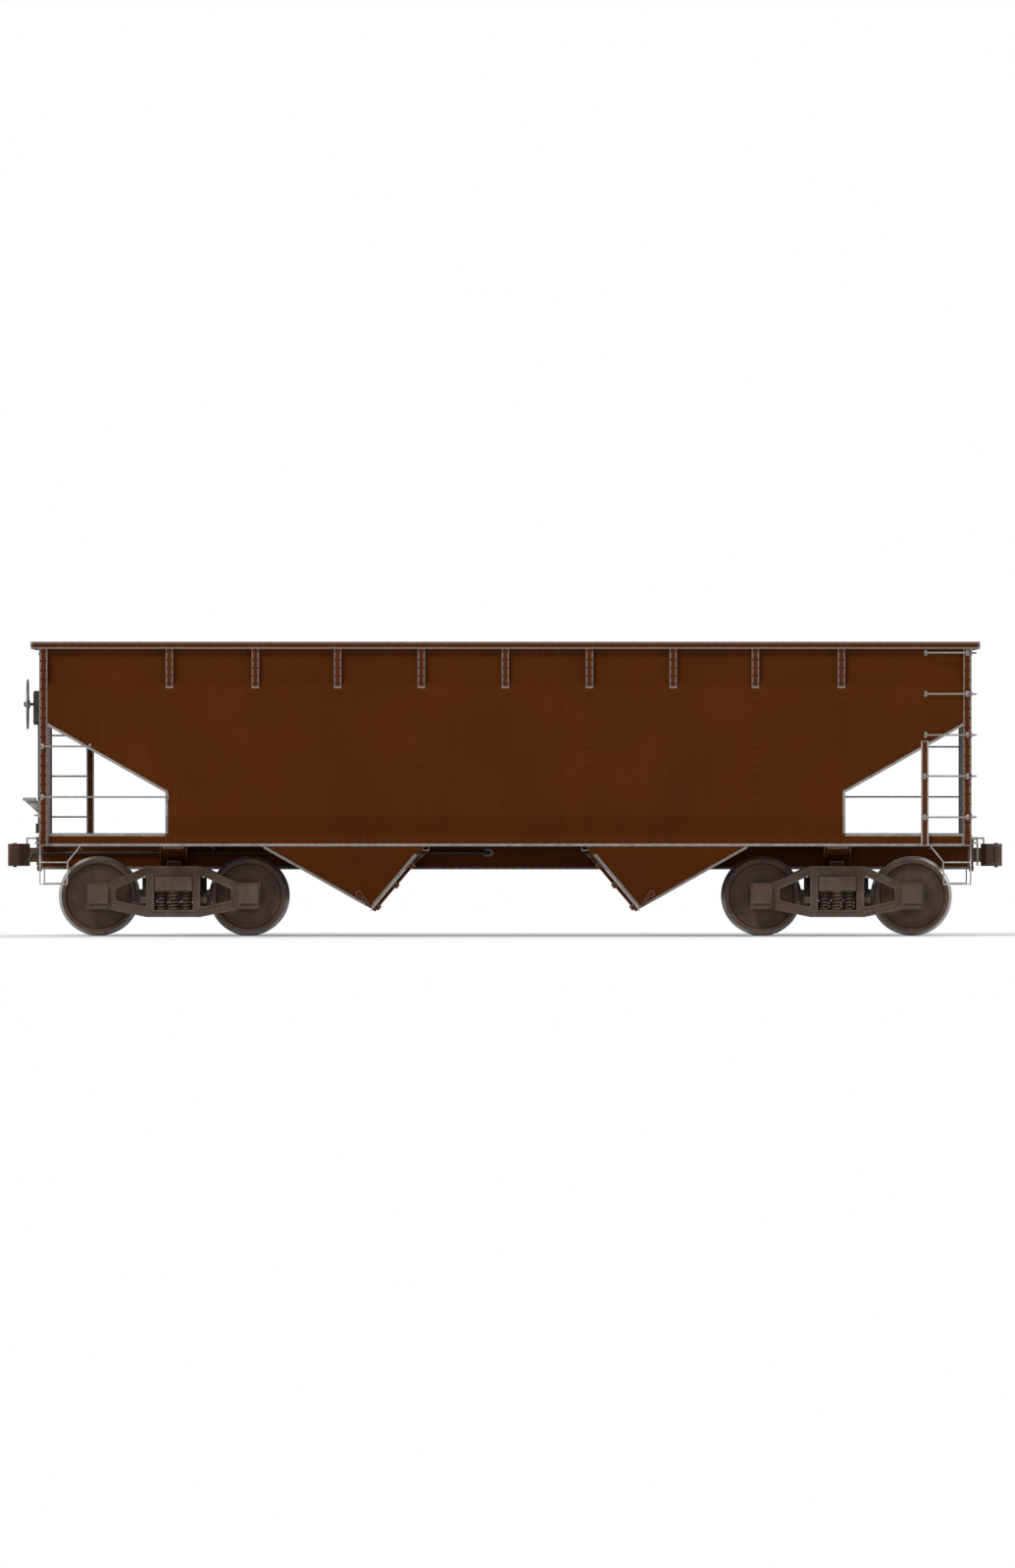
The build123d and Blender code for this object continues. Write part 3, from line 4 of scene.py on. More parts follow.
import bpy
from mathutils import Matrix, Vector


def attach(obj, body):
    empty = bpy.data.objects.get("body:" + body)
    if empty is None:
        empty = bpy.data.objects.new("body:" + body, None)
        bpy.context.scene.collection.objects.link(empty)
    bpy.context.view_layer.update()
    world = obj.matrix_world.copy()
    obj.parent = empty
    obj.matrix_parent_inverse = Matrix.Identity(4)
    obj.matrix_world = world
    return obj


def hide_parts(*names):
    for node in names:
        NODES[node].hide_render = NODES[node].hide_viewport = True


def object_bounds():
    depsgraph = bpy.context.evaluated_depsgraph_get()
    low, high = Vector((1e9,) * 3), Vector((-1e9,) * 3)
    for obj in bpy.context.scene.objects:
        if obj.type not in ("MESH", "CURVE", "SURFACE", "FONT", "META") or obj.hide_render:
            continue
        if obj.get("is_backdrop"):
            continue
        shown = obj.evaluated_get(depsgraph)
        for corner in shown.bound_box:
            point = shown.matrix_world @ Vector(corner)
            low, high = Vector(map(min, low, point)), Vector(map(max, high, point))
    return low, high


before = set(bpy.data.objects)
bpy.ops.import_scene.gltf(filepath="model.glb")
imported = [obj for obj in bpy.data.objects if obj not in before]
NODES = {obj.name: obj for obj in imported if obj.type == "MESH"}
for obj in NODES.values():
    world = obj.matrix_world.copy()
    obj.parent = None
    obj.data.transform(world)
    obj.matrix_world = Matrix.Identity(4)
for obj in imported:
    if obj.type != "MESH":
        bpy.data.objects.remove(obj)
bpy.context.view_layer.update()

# End a is +X and end b is -X. Side +1 is +Y, the left, and side -1 is -Y, the side nearest the camera.
ENDS = ((1, "a"), (-1, "b"))
SIGNS = (-1, 1)
# The ladders' corners are those whose end times side is this, and the other two have grab irons.
LADDER_CORNER = -1

# Sizes of the wagon in metres, as in the CAD.
RAIL = 0.0254
TOP_Z = RAIL + 3.251
SILL_BOTTOM = RAIL + 0.976
SILL_TOP = SILL_BOTTOM + 0.140
END_X = 5.182
POST_W = 0.091
POST_BACK = END_X - POST_W
CHORD_X = END_X + 0.095
CHORD_FACE_Y = 1.561
CHORD_DEPTH = 0.080
CENTRE_BOTTOM = RAIL + 0.714
CENTRE_WEB_Y = 0.165
CENTRE_FLANGE_Y = 0.230
INSET_Y = 1.450
BULGE_Y = 1.532
SHEET = 0.008
POST_FACE_Y = BULGE_Y + SHEET + 0.008
STUB_FOOT = TOP_Z - CHORD_DEPTH - 0.440
LOWER_BEND = SILL_TOP + 0.200
SLOPE_ANGLE = math.radians(29.5)
SLOPE = math.tan(SLOPE_ANGLE)
SLOPE_FOOT_X = 2.725
END_SHEET_FOLD = 2.385
DOOR_TIP_X = 1.490
DOOR_TOP_Z = RAIL + 0.886
DOOR_ANGLE = math.radians(50)
CHUTE_FOOT_Y = 1.180
RIDGE_Z = RAIL + 1.880
SIDE_EDGE_X = 3.780
STAKES = (0.0, 0.935, 1.865, 2.780, 3.735)
LADDER_Y = (1.010, 1.500)
SIDE_STILE = (4.636, 4.690)
END_STILE = (0.990, 1.030)
BRAKE_Y = 0.520
TANK_X = -3.400
TANK_Z = SILL_BOTTOM + 0.165
TRUCK_X = 3.696
AXLE_DX = 0.838
WHEEL_R = 0.419
AXLE_Z = RAIL + WHEEL_R
JOURNAL_Y = 0.978
SPRING_SEAT = RAIL + 0.265
SPRING_H = 0.210


def slope_z(x):
    """Height of a slope sheet's underside at a distance from the middle."""
    return SILL_BOTTOM + (x - SLOPE_FOOT_X) * SLOPE


DOOR_TIP_Z = slope_z(DOOR_TIP_X)
DOOR_TOP_X = DOOR_TIP_X - (DOOR_TOP_Z - DOOR_TIP_Z) / math.tan(DOOR_ANGLE)

# Outer face of the side as (half width, height), from the sill up.
SIDE_FACE = [
    (INSET_Y + SHEET, SILL_BOTTOM),
    (INSET_Y + SHEET, SILL_TOP),
    (BULGE_Y + SHEET, LOWER_BEND),
    (BULGE_Y + SHEET, STUB_FOOT),
    (INSET_Y + SHEET, STUB_FOOT + 0.110),
    (INSET_Y + SHEET, TOP_Z),
]


def side_at(z):
    """Half width and outward normal (y, z) of the side's outer face at a height."""
    for (y0, z0), (y1, z1) in zip(SIDE_FACE, SIDE_FACE[1:]):
        if z <= z1:
            length = math.hypot(y1 - y0, z1 - z0)
            normal = ((z1 - z0) / length, -(y1 - y0) / length)
            return y0 + (y1 - y0) * (z - z0) / (z1 - z0), normal
    return SIDE_FACE[-1][0], (1.0, 0.0)


def on_side(x, z, s):
    """The point of side s's outer face at a height, and the face's normal there."""
    y, (ny, nz) = side_at(z)
    return (x, s * y, z), (0, s * ny, nz)


# Materials
def srgb(*levels):
    """Linear colour from 8-bit sRGB levels."""
    shares = [level / 255 for level in levels]
    return (*(c / 12.92 if c <= 0.04045 else ((c + 0.055) / 1.055) ** 2.4 for c in shares), 1.0)


class Tree:
    """Small helper that builds a material's nodes."""

    def __init__(self, name):
        self.mat = bpy.data.materials.new(name)
        self.mat.use_nodes = True
        self.nt = self.mat.node_tree
        self.nt.nodes.clear()
        out = self.node("ShaderNodeOutputMaterial")
        self.bsdf = self.node("ShaderNodeBsdfPrincipled")
        self.link(self.bsdf.outputs[0], out.inputs[0])
        self.coord = self.node("ShaderNodeTexCoord").outputs["Object"]

    def node(self, kind, **values):
        n = self.nt.nodes.new(kind)
        for k, v in values.items():
            setattr(n, k, v)
        return n

    def link(self, a, b):
        self.nt.links.new(a, b)

    def put(self, socket, value):
        """Link the value to the socket, or set it there when it is a constant."""
        if isinstance(value, bpy.types.NodeSocket):
            self.link(value, socket)
        else:
            socket.default_value = value

    def noise(self, scale, detail, rough, stretch=None, distort=0.0):
        """Noise over the object's metres, its axes first scaled by stretch."""
        vec = self.coord
        if stretch:
            m = self.node("ShaderNodeMapping")
            m.inputs["Scale"].default_value = stretch
            self.link(vec, m.inputs["Vector"])
            vec = m.outputs[0]
        n = self.node("ShaderNodeTexNoise")
        self.link(vec, n.inputs["Vector"])
        n.inputs["Scale"].default_value = scale
        n.inputs["Detail"].default_value = detail
        n.inputs["Roughness"].default_value = rough
        n.inputs["Distortion"].default_value = distort
        return n.outputs["Fac"]

    def ramp(self, fac, low, high, to_low=0.0, to_high=1.0):
        """fac taken from low..high to to_low..to_high, and held within it."""
        n = self.node("ShaderNodeMapRange")
        n.clamp = True
        self.put(n.inputs["Value"], fac)
        for k, v in (("From Min", low), ("From Max", high), ("To Min", to_low), ("To Max", to_high)):
            n.inputs[k].default_value = v
        return n.outputs[0]

    def math(self, op, a, b=0.0):
        n = self.node("ShaderNodeMath", operation=op)
        self.put(n.inputs[0], a)
        self.put(n.inputs[1], b)
        return n.outputs[0]

    def mix(self, fac, a, b):
        n = self.node("ShaderNodeMix", data_type="RGBA")
        self.put(n.inputs[0], fac)
        self.put(n.inputs[6], a)
        self.put(n.inputs[7], b)
        return n.outputs[2]

    def edge(self, radius, low=0.004, high=0.10):
        """1 near a convex or concave edge, 0 on a flat face."""
        bevel = self.node("ShaderNodeBevel", samples=6)
        bevel.inputs["Radius"].default_value = radius
        geo = self.node("ShaderNodeNewGeometry")
        dot = self.node("ShaderNodeVectorMath", operation="DOT_PRODUCT")
        self.link(bevel.outputs[0], dot.inputs[0])
        self.link(geo.outputs["Normal"], dot.inputs[1])
        return self.ramp(self.math("SUBTRACT", 1.0, dot.outputs["Value"]), low, high)

    def axis(self, name):
        """The place along an axis: nodes and pieces all have their origin at the frame's."""
        s = self.node("ShaderNodeSeparateXYZ")
        self.link(self.coord, s.inputs[0])
        return s.outputs[name]

    def far(self, name):
        """The distance from the middle along an axis."""
        return self.math("ABSOLUTE", self.axis(name))

    def facing(self, axis, outward=None):
        """1 where the surface looks along +axis, or away from (outward 1) or towards (-1) the middle."""
        s = self.node("ShaderNodeSeparateXYZ")
        self.link(self.node("ShaderNodeTexCoord").outputs["Normal"], s.inputs[0])
        value = s.outputs[axis]
        if outward:
            away = self.math("MULTIPLY", self.math("SIGN", self.axis(axis)), outward)
            value = self.math("MULTIPLY", value, away)
        return self.ramp(value, 0.02, 0.12)

    def bump(self, *layers):
        """Bump the surface by layers, each (height, strength, distance), one on another."""
        normal = None
        for height, strength, distance in layers:
            n = self.node("ShaderNodeBump")
            n.inputs["Strength"].default_value = strength
            n.inputs["Distance"].default_value = distance
            self.put(n.inputs["Height"], height)
            if normal is not None:
                self.link(normal, n.inputs["Normal"])
            normal = n.outputs[0]
        self.link(normal, self.bsdf.inputs["Normal"])

    def finish(self, colour, rough, metal, shine=None):
        """Fill the shader's sockets and return the material."""
        if shine is not None:
            self.bsdf.inputs["Specular IOR Level"].default_value = shine
        self.put(self.bsdf.inputs["Base Color"], colour)
        self.put(self.bsdf.inputs["Roughness"], rough)
        self.put(self.bsdf.inputs["Metallic"], metal)
        return self.mat


BROWN = srgb(73, 33, 4)
BROWN_DARK = srgb(58, 25, 4)
BROWN_DUSTY = srgb(83, 40, 11)
RUST = srgb(92, 42, 14)
RUST_DARK = srgb(50, 27, 16)
SCOURED_RUST = srgb(80, 42, 21)
SCRAPED = srgb(98, 88, 80)
COAL_DUST = srgb(40, 34, 30)
BARE_GREY = srgb(127, 127, 126)
BAR_GREY = srgb(134, 133, 131)
BAR_DIRT = srgb(98, 92, 86)
HANDLED_BRIGHT = srgb(176, 175, 172)
TREAD_BRIGHT = srgb(168, 166, 163)
IRON_RUST = srgb(74, 50, 36)
IRON_RUST_DARK = srgb(46, 34, 27)
OIL = srgb(26, 22, 20)
CAST_GRIME = srgb(30, 24, 20)
CAST_RUBBED = srgb(120, 108, 96)


def paint_layers(t, radius, wear, dust, low, high):
    """Colour and bare-edge mask of faded brown freight-car paint."""
    fade = t.ramp(t.noise(0.9, 5, 0.55), 0.35, 0.7)
    streak = t.ramp(t.noise(5.0, 6, 0.65, stretch=(3.2, 3.2, 0.16)), 0.50, 0.82)
    speck = t.ramp(t.noise(55.0, 3, 0.7), 0.62, 0.76)
    foot = t.ramp(t.axis("Z"), SILL_BOTTOM + 0.35, SILL_BOTTOM - 0.55)
    colour = t.mix(t.math("MULTIPLY", fade, 0.5), BROWN, BROWN_DARK)
    colour = t.mix(t.math("MULTIPLY", streak, dust), colour, BROWN_DUSTY)
    colour = t.mix(t.math("MULTIPLY", foot, t.math("MULTIPLY", fade, 0.3)), colour, BROWN_DUSTY)
    colour = t.mix(t.math("MULTIPLY", speck, 0.35), colour, RUST)
    broken = t.ramp(t.noise(30.0, 5, 0.7), 0.14, 0.38)
    bare = t.math("MULTIPLY", t.math("MULTIPLY", t.edge(radius, low, high), broken), wear)
    halo = t.math("MULTIPLY", t.edge(radius * 1.8, low, low + 0.05), 0.25)
    colour = t.mix(halo, colour, RUST)
    return t.mix(bare, colour, BARE_GREY), bare


def scoured_layers(t):
    """Colour and bright-steel mask of load-space plate: paint gone, rust and coal dust over bare metal."""
    patch = t.ramp(t.noise(1.6, 6, 0.62, distort=0.4), 0.40, 0.60)
    scrape = t.ramp(t.noise(9.0, 6, 0.7, stretch=(0.5, 2.0, 2.0)), 0.45, 0.72)
    dust = t.ramp(t.noise(3.2, 5, 0.6), 0.45, 0.75)
    colour = t.mix(patch, SCOURED_RUST, RUST_DARK)
    colour = t.mix(t.math("MULTIPLY", scrape, 0.55), colour, SCRAPED)
    return t.mix(t.math("MULTIPLY", dust, 0.6), colour, COAL_DUST), scrape


def paint(name, radius=0.012, wear=0.9, dust=0.3, low=0.004, high=0.10):
    """Brown paint with rain streaks, rust specks and bare grey steel on the edges."""
    t = Tree(name)
    colour, bare = paint_layers(t, radius, wear, dust, low, high)
    rough = t.ramp(t.noise(14.0, 4, 0.6), 0.3, 0.7, 0.58, 0.76)
    dents = (t.noise(1.3, 2, 0.5), 0.35, 0.010)
    brush_marks = (t.noise(160.0, 3, 0.6), 0.12, 0.0012)
    t.bump(dents, brush_marks, (bare, 0.25, -0.0008))
    return t.finish(colour, rough, t.math("MULTIPLY", bare, 0.3), 0.04)


def tub_paint(name, load_side, low=0.05, high=0.16, radius=0.020):
    """A sheet or post of the tub: scoured on its load side, painted on the other."""
    t = Tree(name)
    outer, bare = paint_layers(t, radius, 0.85, 0.3, low, high)
    inner, scrape = scoured_layers(t)
    load = load_side(t)
    rough = t.math("ADD", 0.70, t.math("MULTIPLY", load, t.ramp(scrape, 0, 1, 0.0, -0.20)))
    metal = t.math("MULTIPLY", t.math("MULTIPLY", load, scrape), 0.3)
    t.bump((t.noise(1.7, 3, 0.5), 0.4, 0.012), (t.noise(80.0, 4, 0.7), 0.18, 0.0016))
    return t.finish(t.mix(load, outer, inner), rough, metal, 0.045)


def door_load_side(t):
    """1 on the face of a door that the load lies on."""
    return t.math("MULTIPLY", t.facing("Z"), t.facing("X", 1))


def inside_tub(t):
    """1 on what stands inside the side sheets and above the slope sheets."""
    fold = (BULGE_Y - INSET_Y) / 0.110
    above_fold = t.math("MAXIMUM", t.math("SUBTRACT", t.axis("Z"), STUB_FOOT), 0.0)
    step = t.math("MULTIPLY", above_fold, fold)
    inward = t.math("LESS_THAN", t.math("ADD", t.far("Y"), step), BULGE_Y + 0.004)
    rise = t.math("MULTIPLY", t.math("SUBTRACT", t.far("X"), SLOPE_FOOT_X), SLOPE)
    above_slope = t.math("GREATER_THAN", t.axis("Z"), t.math("ADD", rise, SILL_BOTTOM))
    return t.math("MULTIPLY", inward, above_slope)


def inner_paint(name):
    """Plate that only faces the load."""
    t = Tree(name)
    colour, scrape = scoured_layers(t)
    t.bump((t.noise(2.0, 3, 0.5), 0.4, 0.012), (t.noise(70.0, 4, 0.7), 0.25, 0.002))
    return t.finish(colour, t.ramp(scrape, 0.0, 1.0, 0.72, 0.48), t.math("MULTIPLY", scrape, 0.35), 0.2)


def steel(name, base, dark, wear=0.5, rough=(0.38, 0.6), metal=0.55):
    """Grey steel bar, handled bright with rust in its corners."""
    t = Tree(name)
    blotch = t.ramp(t.noise(11.0, 5, 0.65), 0.42, 0.66)
    grain = t.ramp(t.noise(90.0, 4, 0.6), 0.35, 0.7)
    colour = t.mix(t.math("MULTIPLY", blotch, 0.55), base, dark)
    colour = t.mix(t.math("MULTIPLY", grain, 0.25), colour, RUST)
    colour = t.mix(t.math("MULTIPLY", t.edge(0.006), wear), colour, HANDLED_BRIGHT)
    t.bump((t.noise(120.0, 4, 0.6), 0.2, 0.001))
    return t.finish(colour, t.ramp(blotch, 0, 1, *rough), metal)


def ladder_steel(name):
    """Grey rungs on stiles in the body's brown: the stiles are flat plates in known places."""
    t = Tree(name)

    def within(value, low, high):
        return t.math("MULTIPLY", t.math("GREATER_THAN", value, low), t.math("LESS_THAN", value, high))

    x, y = t.far("X"), t.far("Y")
    side = t.math("MULTIPLY", within(x, *SIDE_STILE), t.math("LESS_THAN", y, POST_FACE_Y + 0.0005))
    end = t.math("MULTIPLY", within(y, *END_STILE), t.math("LESS_THAN", x, END_X + 0.0005))
    stile = t.math("MAXIMUM", side, end)
    brown, _ = paint_layers(t, 0.026, 1.0, 0.3, 0.012, 0.07)
    blotch = t.ramp(t.noise(11.0, 5, 0.65), 0.42, 0.66)
    grey = t.mix(t.math("MULTIPLY", blotch, 0.5), BAR_GREY, BAR_DIRT)
    t.bump((t.noise(120.0, 4, 0.6), 0.2, 0.001))
    metal = t.ramp(stile, 0, 1, 0.45, 0.0)
    return t.finish(t.mix(stile, grey, brown), t.ramp(stile, 0, 1, 0.48, 0.7), metal, 0.12)


def casting(name, base, rust, dusty, wear=0.35, grain=0.35):
    """Rough sand-cast steel with oily dirt in the hollows and rubbed edges."""
    t = Tree(name)
    big = t.ramp(t.noise(3.5, 6, 0.6), 0.38, 0.66)
    small = t.ramp(t.noise(28.0, 5, 0.65), 0.45, 0.7)
    dust = t.ramp(t.noise(6.0, 6, 0.65, stretch=(1, 1, 0.5)), 0.5, 0.78)
    colour = t.mix(big, base, rust)
    colour = t.mix(t.math("MULTIPLY", small, 0.4), colour, CAST_GRIME)
    colour = t.mix(t.math("MULTIPLY", dust, 0.45), colour, dusty)
    colour = t.mix(t.math("MULTIPLY", t.edge(0.008), wear), colour, CAST_RUBBED)
    t.bump((t.noise(150.0, 4, 0.7), grain, 0.0016), (t.noise(16.0, 3, 0.5), 0.25, 0.004))
    return t.finish(colour, t.ramp(big, 0, 1, 0.55, 0.78), 0.25)


def wheel_steel(name):
    """Rusted wheel whose tread and flange are rolled bright. The mask is the distance from the axle."""
    t = Tree(name)
    from_truck = t.math("SUBTRACT", t.far("X"), TRUCK_X)
    x = t.math("SUBTRACT", t.math("ABSOLUTE", from_truck), AXLE_DX)
    z = t.math("SUBTRACT", t.axis("Z"), AXLE_Z)
    radius = t.math("SQRT", t.math("ADD", t.math("MULTIPLY", x, x), t.math("MULTIPLY", z, z)))
    rim = t.ramp(radius, WHEEL_R - 0.010, WHEEL_R - 0.005)
    scuff = t.ramp(t.noise(60.0, 4, 0.7), 0.3, 0.6)
    tread = t.math("MULTIPLY", rim, t.ramp(scuff, 0, 1, 0.75, 1.0))
    blotch = t.ramp(t.noise(7.0, 6, 0.65), 0.4, 0.65)
    colour = t.mix(blotch, IRON_RUST, IRON_RUST_DARK)
    fine_rust = t.ramp(t.noise(40.0, 4, 0.6), 0.5, 0.75)
    colour = t.mix(t.math("MULTIPLY", fine_rust, 0.35), colour, RUST)
    oil = t.math("MULTIPLY", t.ramp(radius, 0.20, 0.12), 0.7)
    colour = t.mix(oil, colour, OIL)
    colour = t.mix(tread, colour, TREAD_BRIGHT)
    t.bump((t.noise(130.0, 4, 0.6), 0.25, 0.0012))
    return t.finish(colour, t.ramp(tread, 0, 1, 0.68, 0.28), t.ramp(tread, 0, 1, 0.2, 0.95))


PAINT = paint("body_paint")
PAINT_OUTLINED = paint("body_paint_rubbed_edges", 0.034, wear=1.0, dust=0.25, low=0.012, high=0.07)
RIVET = paint("rivet_paint", 0.004, wear=0.25, dust=0.2)
EDGE_GREY, EDGE_DIRT = srgb(124, 123, 121), srgb(92, 80, 70)
EDGE_STEEL = steel("rubbed_edge_steel", EDGE_GREY, EDGE_DIRT, wear=0.3, rough=(0.5, 0.66), metal=0.2)
SIDE_SHEET = tub_paint("side_sheet_paint", lambda t: t.facing("Y", -1), 0.12, 0.24, 0.006)
END_SHEET = tub_paint("slope_sheet_steel", lambda t: t.facing("X", -1))
RIDGE = tub_paint("ridge_steel", lambda t: t.facing("Z"))
DOOR = tub_paint("door_steel", door_load_side, 0.004, 0.10, 0.012)
STAKE = tub_paint("stake_paint", inside_tub, 0.02, 0.11, 0.028)
INSIDE = inner_paint("load_space_steel")
GRAB = steel("grab_steel", BAR_GREY, BAR_DIRT)
LADDER = ladder_steel("ladder_steel")
CAST = casting("truck_casting", srgb(58, 44, 35), IRON_RUST, srgb(104, 88, 72))
COUPLER = casting("coupler_casting", srgb(84, 52, 34), srgb(62, 42, 32), srgb(104, 82, 64), wear=0.5)
BRAKE = casting("brake_iron", srgb(40, 35, 32), srgb(56, 42, 33), srgb(92, 80, 68), grain=0.15)
AXLE = casting("axle_steel", srgb(60, 46, 37), srgb(48, 36, 30), srgb(96, 82, 68), grain=0.15)
SPRING = casting("spring_steel", srgb(62, 48, 40), srgb(76, 50, 34), srgb(108, 92, 76), grain=0.12)
WHEEL = wheel_steel("wheel_steel")

MATERIALS = {
    "ladders": LADDER,
    "sill_hoods": INSIDE,
    "cross_ridge": RIDGE,
    "side_stakes": STAKE,
    "air_reservoir": BRAKE,
    "brake_cylinder": BRAKE,
    "brake_pipe": BRAKE,
    "hand_brake_gear": BRAKE,
    "draft_gears": COUPLER,
    "strikers": COUPLER,
}
for grey in ("sill_steps", "grab_irons", "uncoupling_levers", "brake_wheel", "brake_step"):
    MATERIALS[grey] = GRAB
for outlined in ("side_chords", "end_chords", "body_posts", "side_sills", "end_sills", "centre_sill"):
    MATERIALS[outlined] = PAINT_OUTLINED
BY_ENDING = (("_springs", SPRING), ("_rigging", BRAKE))
BY_START = (
    ("truck_", CAST),
    ("wheels_", WHEEL),
    ("axle_", AXLE),
    ("coupler_", COUPLER),
    ("knuckle_", COUPLER),
    ("slope_sheet_", END_SHEET),
    ("side_sheet_", SIDE_SHEET),
    ("chute_walls", SIDE_SHEET),
    ("door_a", DOOR),
    ("door_b", DOOR),
)


def material_of(node):
    """A CAD node's material, by its name or by how the name ends or starts. The rest is brown paint."""
    if node in MATERIALS:
        return MATERIALS[node]
    for ending, mat in BY_ENDING:
        if node.endswith(ending):
            return mat
    for start, mat in BY_START:
        if node.startswith(start):
            return mat
    return PAINT


for name, node in NODES.items():
    node.data.materials.clear()
    node.data.materials.append(material_of(name))


# Mesh pieces. A shape is a pair, its vertices and its faces.
def mesh_piece(name, shape, mat, body, smooth=False):
    """A new piece that rides on a body and takes a slot's finish."""
    mesh = bpy.data.meshes.new(name)
    mesh.from_pydata([tuple(v) for v in shape[0]], [], shape[1])
    mesh.validate()
    if smooth:
        mesh.shade_smooth()
    mesh.materials.append(mat)
    obj = bpy.data.objects.new(name, mesh)
    bpy.context.scene.collection.objects.link(obj)
    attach(obj, body)
    return obj


def empty():
    """A shape with nothing in it yet."""
    return [], []


def add(into, part):
    """Put a part's vertices and faces into a shape."""
    base = len(into[0])
    into[0].extend(part[0])
    into[1].extend(tuple(i + base for i in f) for f in part[1])


def spread(a, b, gap):
    """Evenly spaced places from a to b, about gap apart."""
    count = max(1, round(abs(b - a) / gap))
    return [a + (b - a) * i / count for i in range(count + 1)]


def around(count):
    """The angles of a full turn in count equal steps."""
    return [2 * math.pi * k / count for k in range(count)]


def frame_of(normal):
    """A unit normal and two unit directions across it."""
    n = Vector(normal).normalized()
    side = n.cross(Vector((0, 0, 1)))
    if side.length < 1e-4:
        side = n.cross(Vector((1, 0, 0)))
    side.normalize()
    return n, side, n.cross(side)


def apart(spots, gap):
    """The spots that no earlier spot is closer to than the gap, found cell by cell."""
    kept, cells = [], {}
    for point, normal in spots:
        p = Vector(point)
        home = tuple(math.floor(c / gap) for c in p)
        near = []
        for step in product((-1, 0, 1), repeat=3):
            near += cells.get(tuple(map(sum, zip(home, step))), ())
        if all((p - q).length >= gap for q in near):
            kept.append((point, normal))
            cells.setdefault(home, []).append(p)
    return kept


# A button head's rings, as shares of its radius: (ring radius, height). It is sunk a little into its plate.
HEAD_RINGS = ((1.0, 0.0), (0.86, 0.42), (0.5, 0.66))
HEAD_CROWN = 0.74
HEAD_SUNK = 0.0006


def rivets(name, spots, radius, mat, body, sides=6):
    """A piece of button heads at the spots, each a point and an outward normal."""
    verts, faces = [], []
    for point, normal in spots:
        n, u, v = frame_of(normal)
        p = Vector(point) - n * HEAD_SUNK
        base = len(verts)
        for share, rise in HEAD_RINGS:
            for a in around(sides):
                verts.append(p + (u * math.cos(a) + v * math.sin(a)) * radius * share + n * radius * rise)
        verts.append(p + n * radius * HEAD_CROWN)
        for ring in range(len(HEAD_RINGS) - 1):
            for k in range(sides):
                a, b = base + ring * sides + k, base + ring * sides + (k + 1) % sides
                faces.append((a, b, b + sides, a + sides))
        last = base + (len(HEAD_RINGS) - 1) * sides
        for k in range(sides):
            faces.append((last + k, last + (k + 1) % sides, last + sides))
        faces.append(tuple(base + k for k in reversed(range(sides))))
    return mesh_piece(name, (verts, faces), mat, body, smooth=True)


def tube(path, radius, sides=8):
    """A round bar with closed ends along a list of points."""
    verts, faces = [], []
    up = None
    for i, p in enumerate(path):
        a, b = path[max(i - 1, 0)], path[min(i + 1, len(path) - 1)]
        d = (Vector(b) - Vector(a)).normalized()
        if up is None:
            up = d.orthogonal().normalized()
        up = (up - d * up.dot(d)).normalized()
        w = d.cross(up)
        for t in around(sides):
            verts.append(Vector(p) + (up * math.cos(t) + w * math.sin(t)) * radius)
    for i in range(len(path) - 1):
        for k in range(sides):
            a, b = i * sides + k, i * sides + (k + 1) % sides
            faces.append((a, b, b + sides, a + sides))
    last = (len(path) - 1) * sides
    faces.append(tuple(reversed(range(sides))))
    faces.append(tuple(last + k for k in range(sides)))
    return verts, faces


def ribbon(points, normals, width, thick, closed=False):
    """A flat bar along points on a surface, given its outward normals there, mitred at its bends."""
    verts, faces, count = [], [], len(points)
    for i, (p, n) in enumerate(zip(points, normals)):
        p, n = Vector(p), Vector(n).normalized()
        before = points[i - 1] if closed or i else None
        after = points[(i + 1) % count] if closed or i < count - 1 else None
        d0 = (p - Vector(before)).normalized() if before is not None else None
        d1 = (Vector(after) - p).normalized() if after is not None else None
        d0, d1 = d0 or d1, d1 or d0
        along = (d0 + d1).normalized()
        stretch = 1.0 / max(0.35, math.sqrt(max(0.0, (1 + d0.dot(d1)) / 2)))
        w = n.cross(along).normalized() * (width / 2 * stretch)
        for lift in (-0.0005, thick):
            verts += [p - w + n * lift, p + w + n * lift]
    for i in range(count if closed else count - 1):
        a, b = 4 * i, 4 * ((i + 1) % count)
        faces += [(a, b, b + 1, a + 1), (a + 2, a + 3, b + 3, b + 2)]
        faces += [(a, a + 2, b + 2, b), (a + 1, b + 1, b + 3, a + 3)]
    if not closed:
        e = 4 * (count - 1)
        faces += [(0, 1, 3, 2), (e, e + 2, e + 3, e + 1)]
    return verts, faces


def slab(corners, normal, thick):
    """A flat plate under a loop of corners, its thickness taken away from the normal."""
    n, count = Vector(normal).normalized(), len(corners)
    turn = (Vector(corners[1]) - Vector(corners[0])).cross(Vector(corners[2]) - Vector(corners[1]))
    if turn.dot(n) < 0:
        corners = corners[::-1]
    verts = [Vector(c) - n * d for d in (0.0, thick) for c in corners]
    rim = [(i, i + count, (i + 1) % count + count, (i + 1) % count) for i in range(count)]
    return verts, [tuple(range(count)), tuple(reversed(range(count, 2 * count))), *rim]


def block(centre, u, v, w):
    """A box from its centre and three half-edge vectors."""
    c, u, v, w = Vector(centre), Vector(u), Vector(v), Vector(w)
    verts = [c + a * u + b * v + d * w for a, b, d in product(SIGNS, repeat=3)]
    return verts, [(0, 1, 3, 2), (4, 6, 7, 5), (0, 4, 5, 1), (2, 3, 7, 6), (0, 2, 6, 4), (1, 5, 7, 3)]


def upright_block(centre, dx, dy, dz):
    """A box along the axes from its centre and half sizes."""
    return block(centre, (dx, 0, 0), (0, dy, 0), (0, 0, dz))


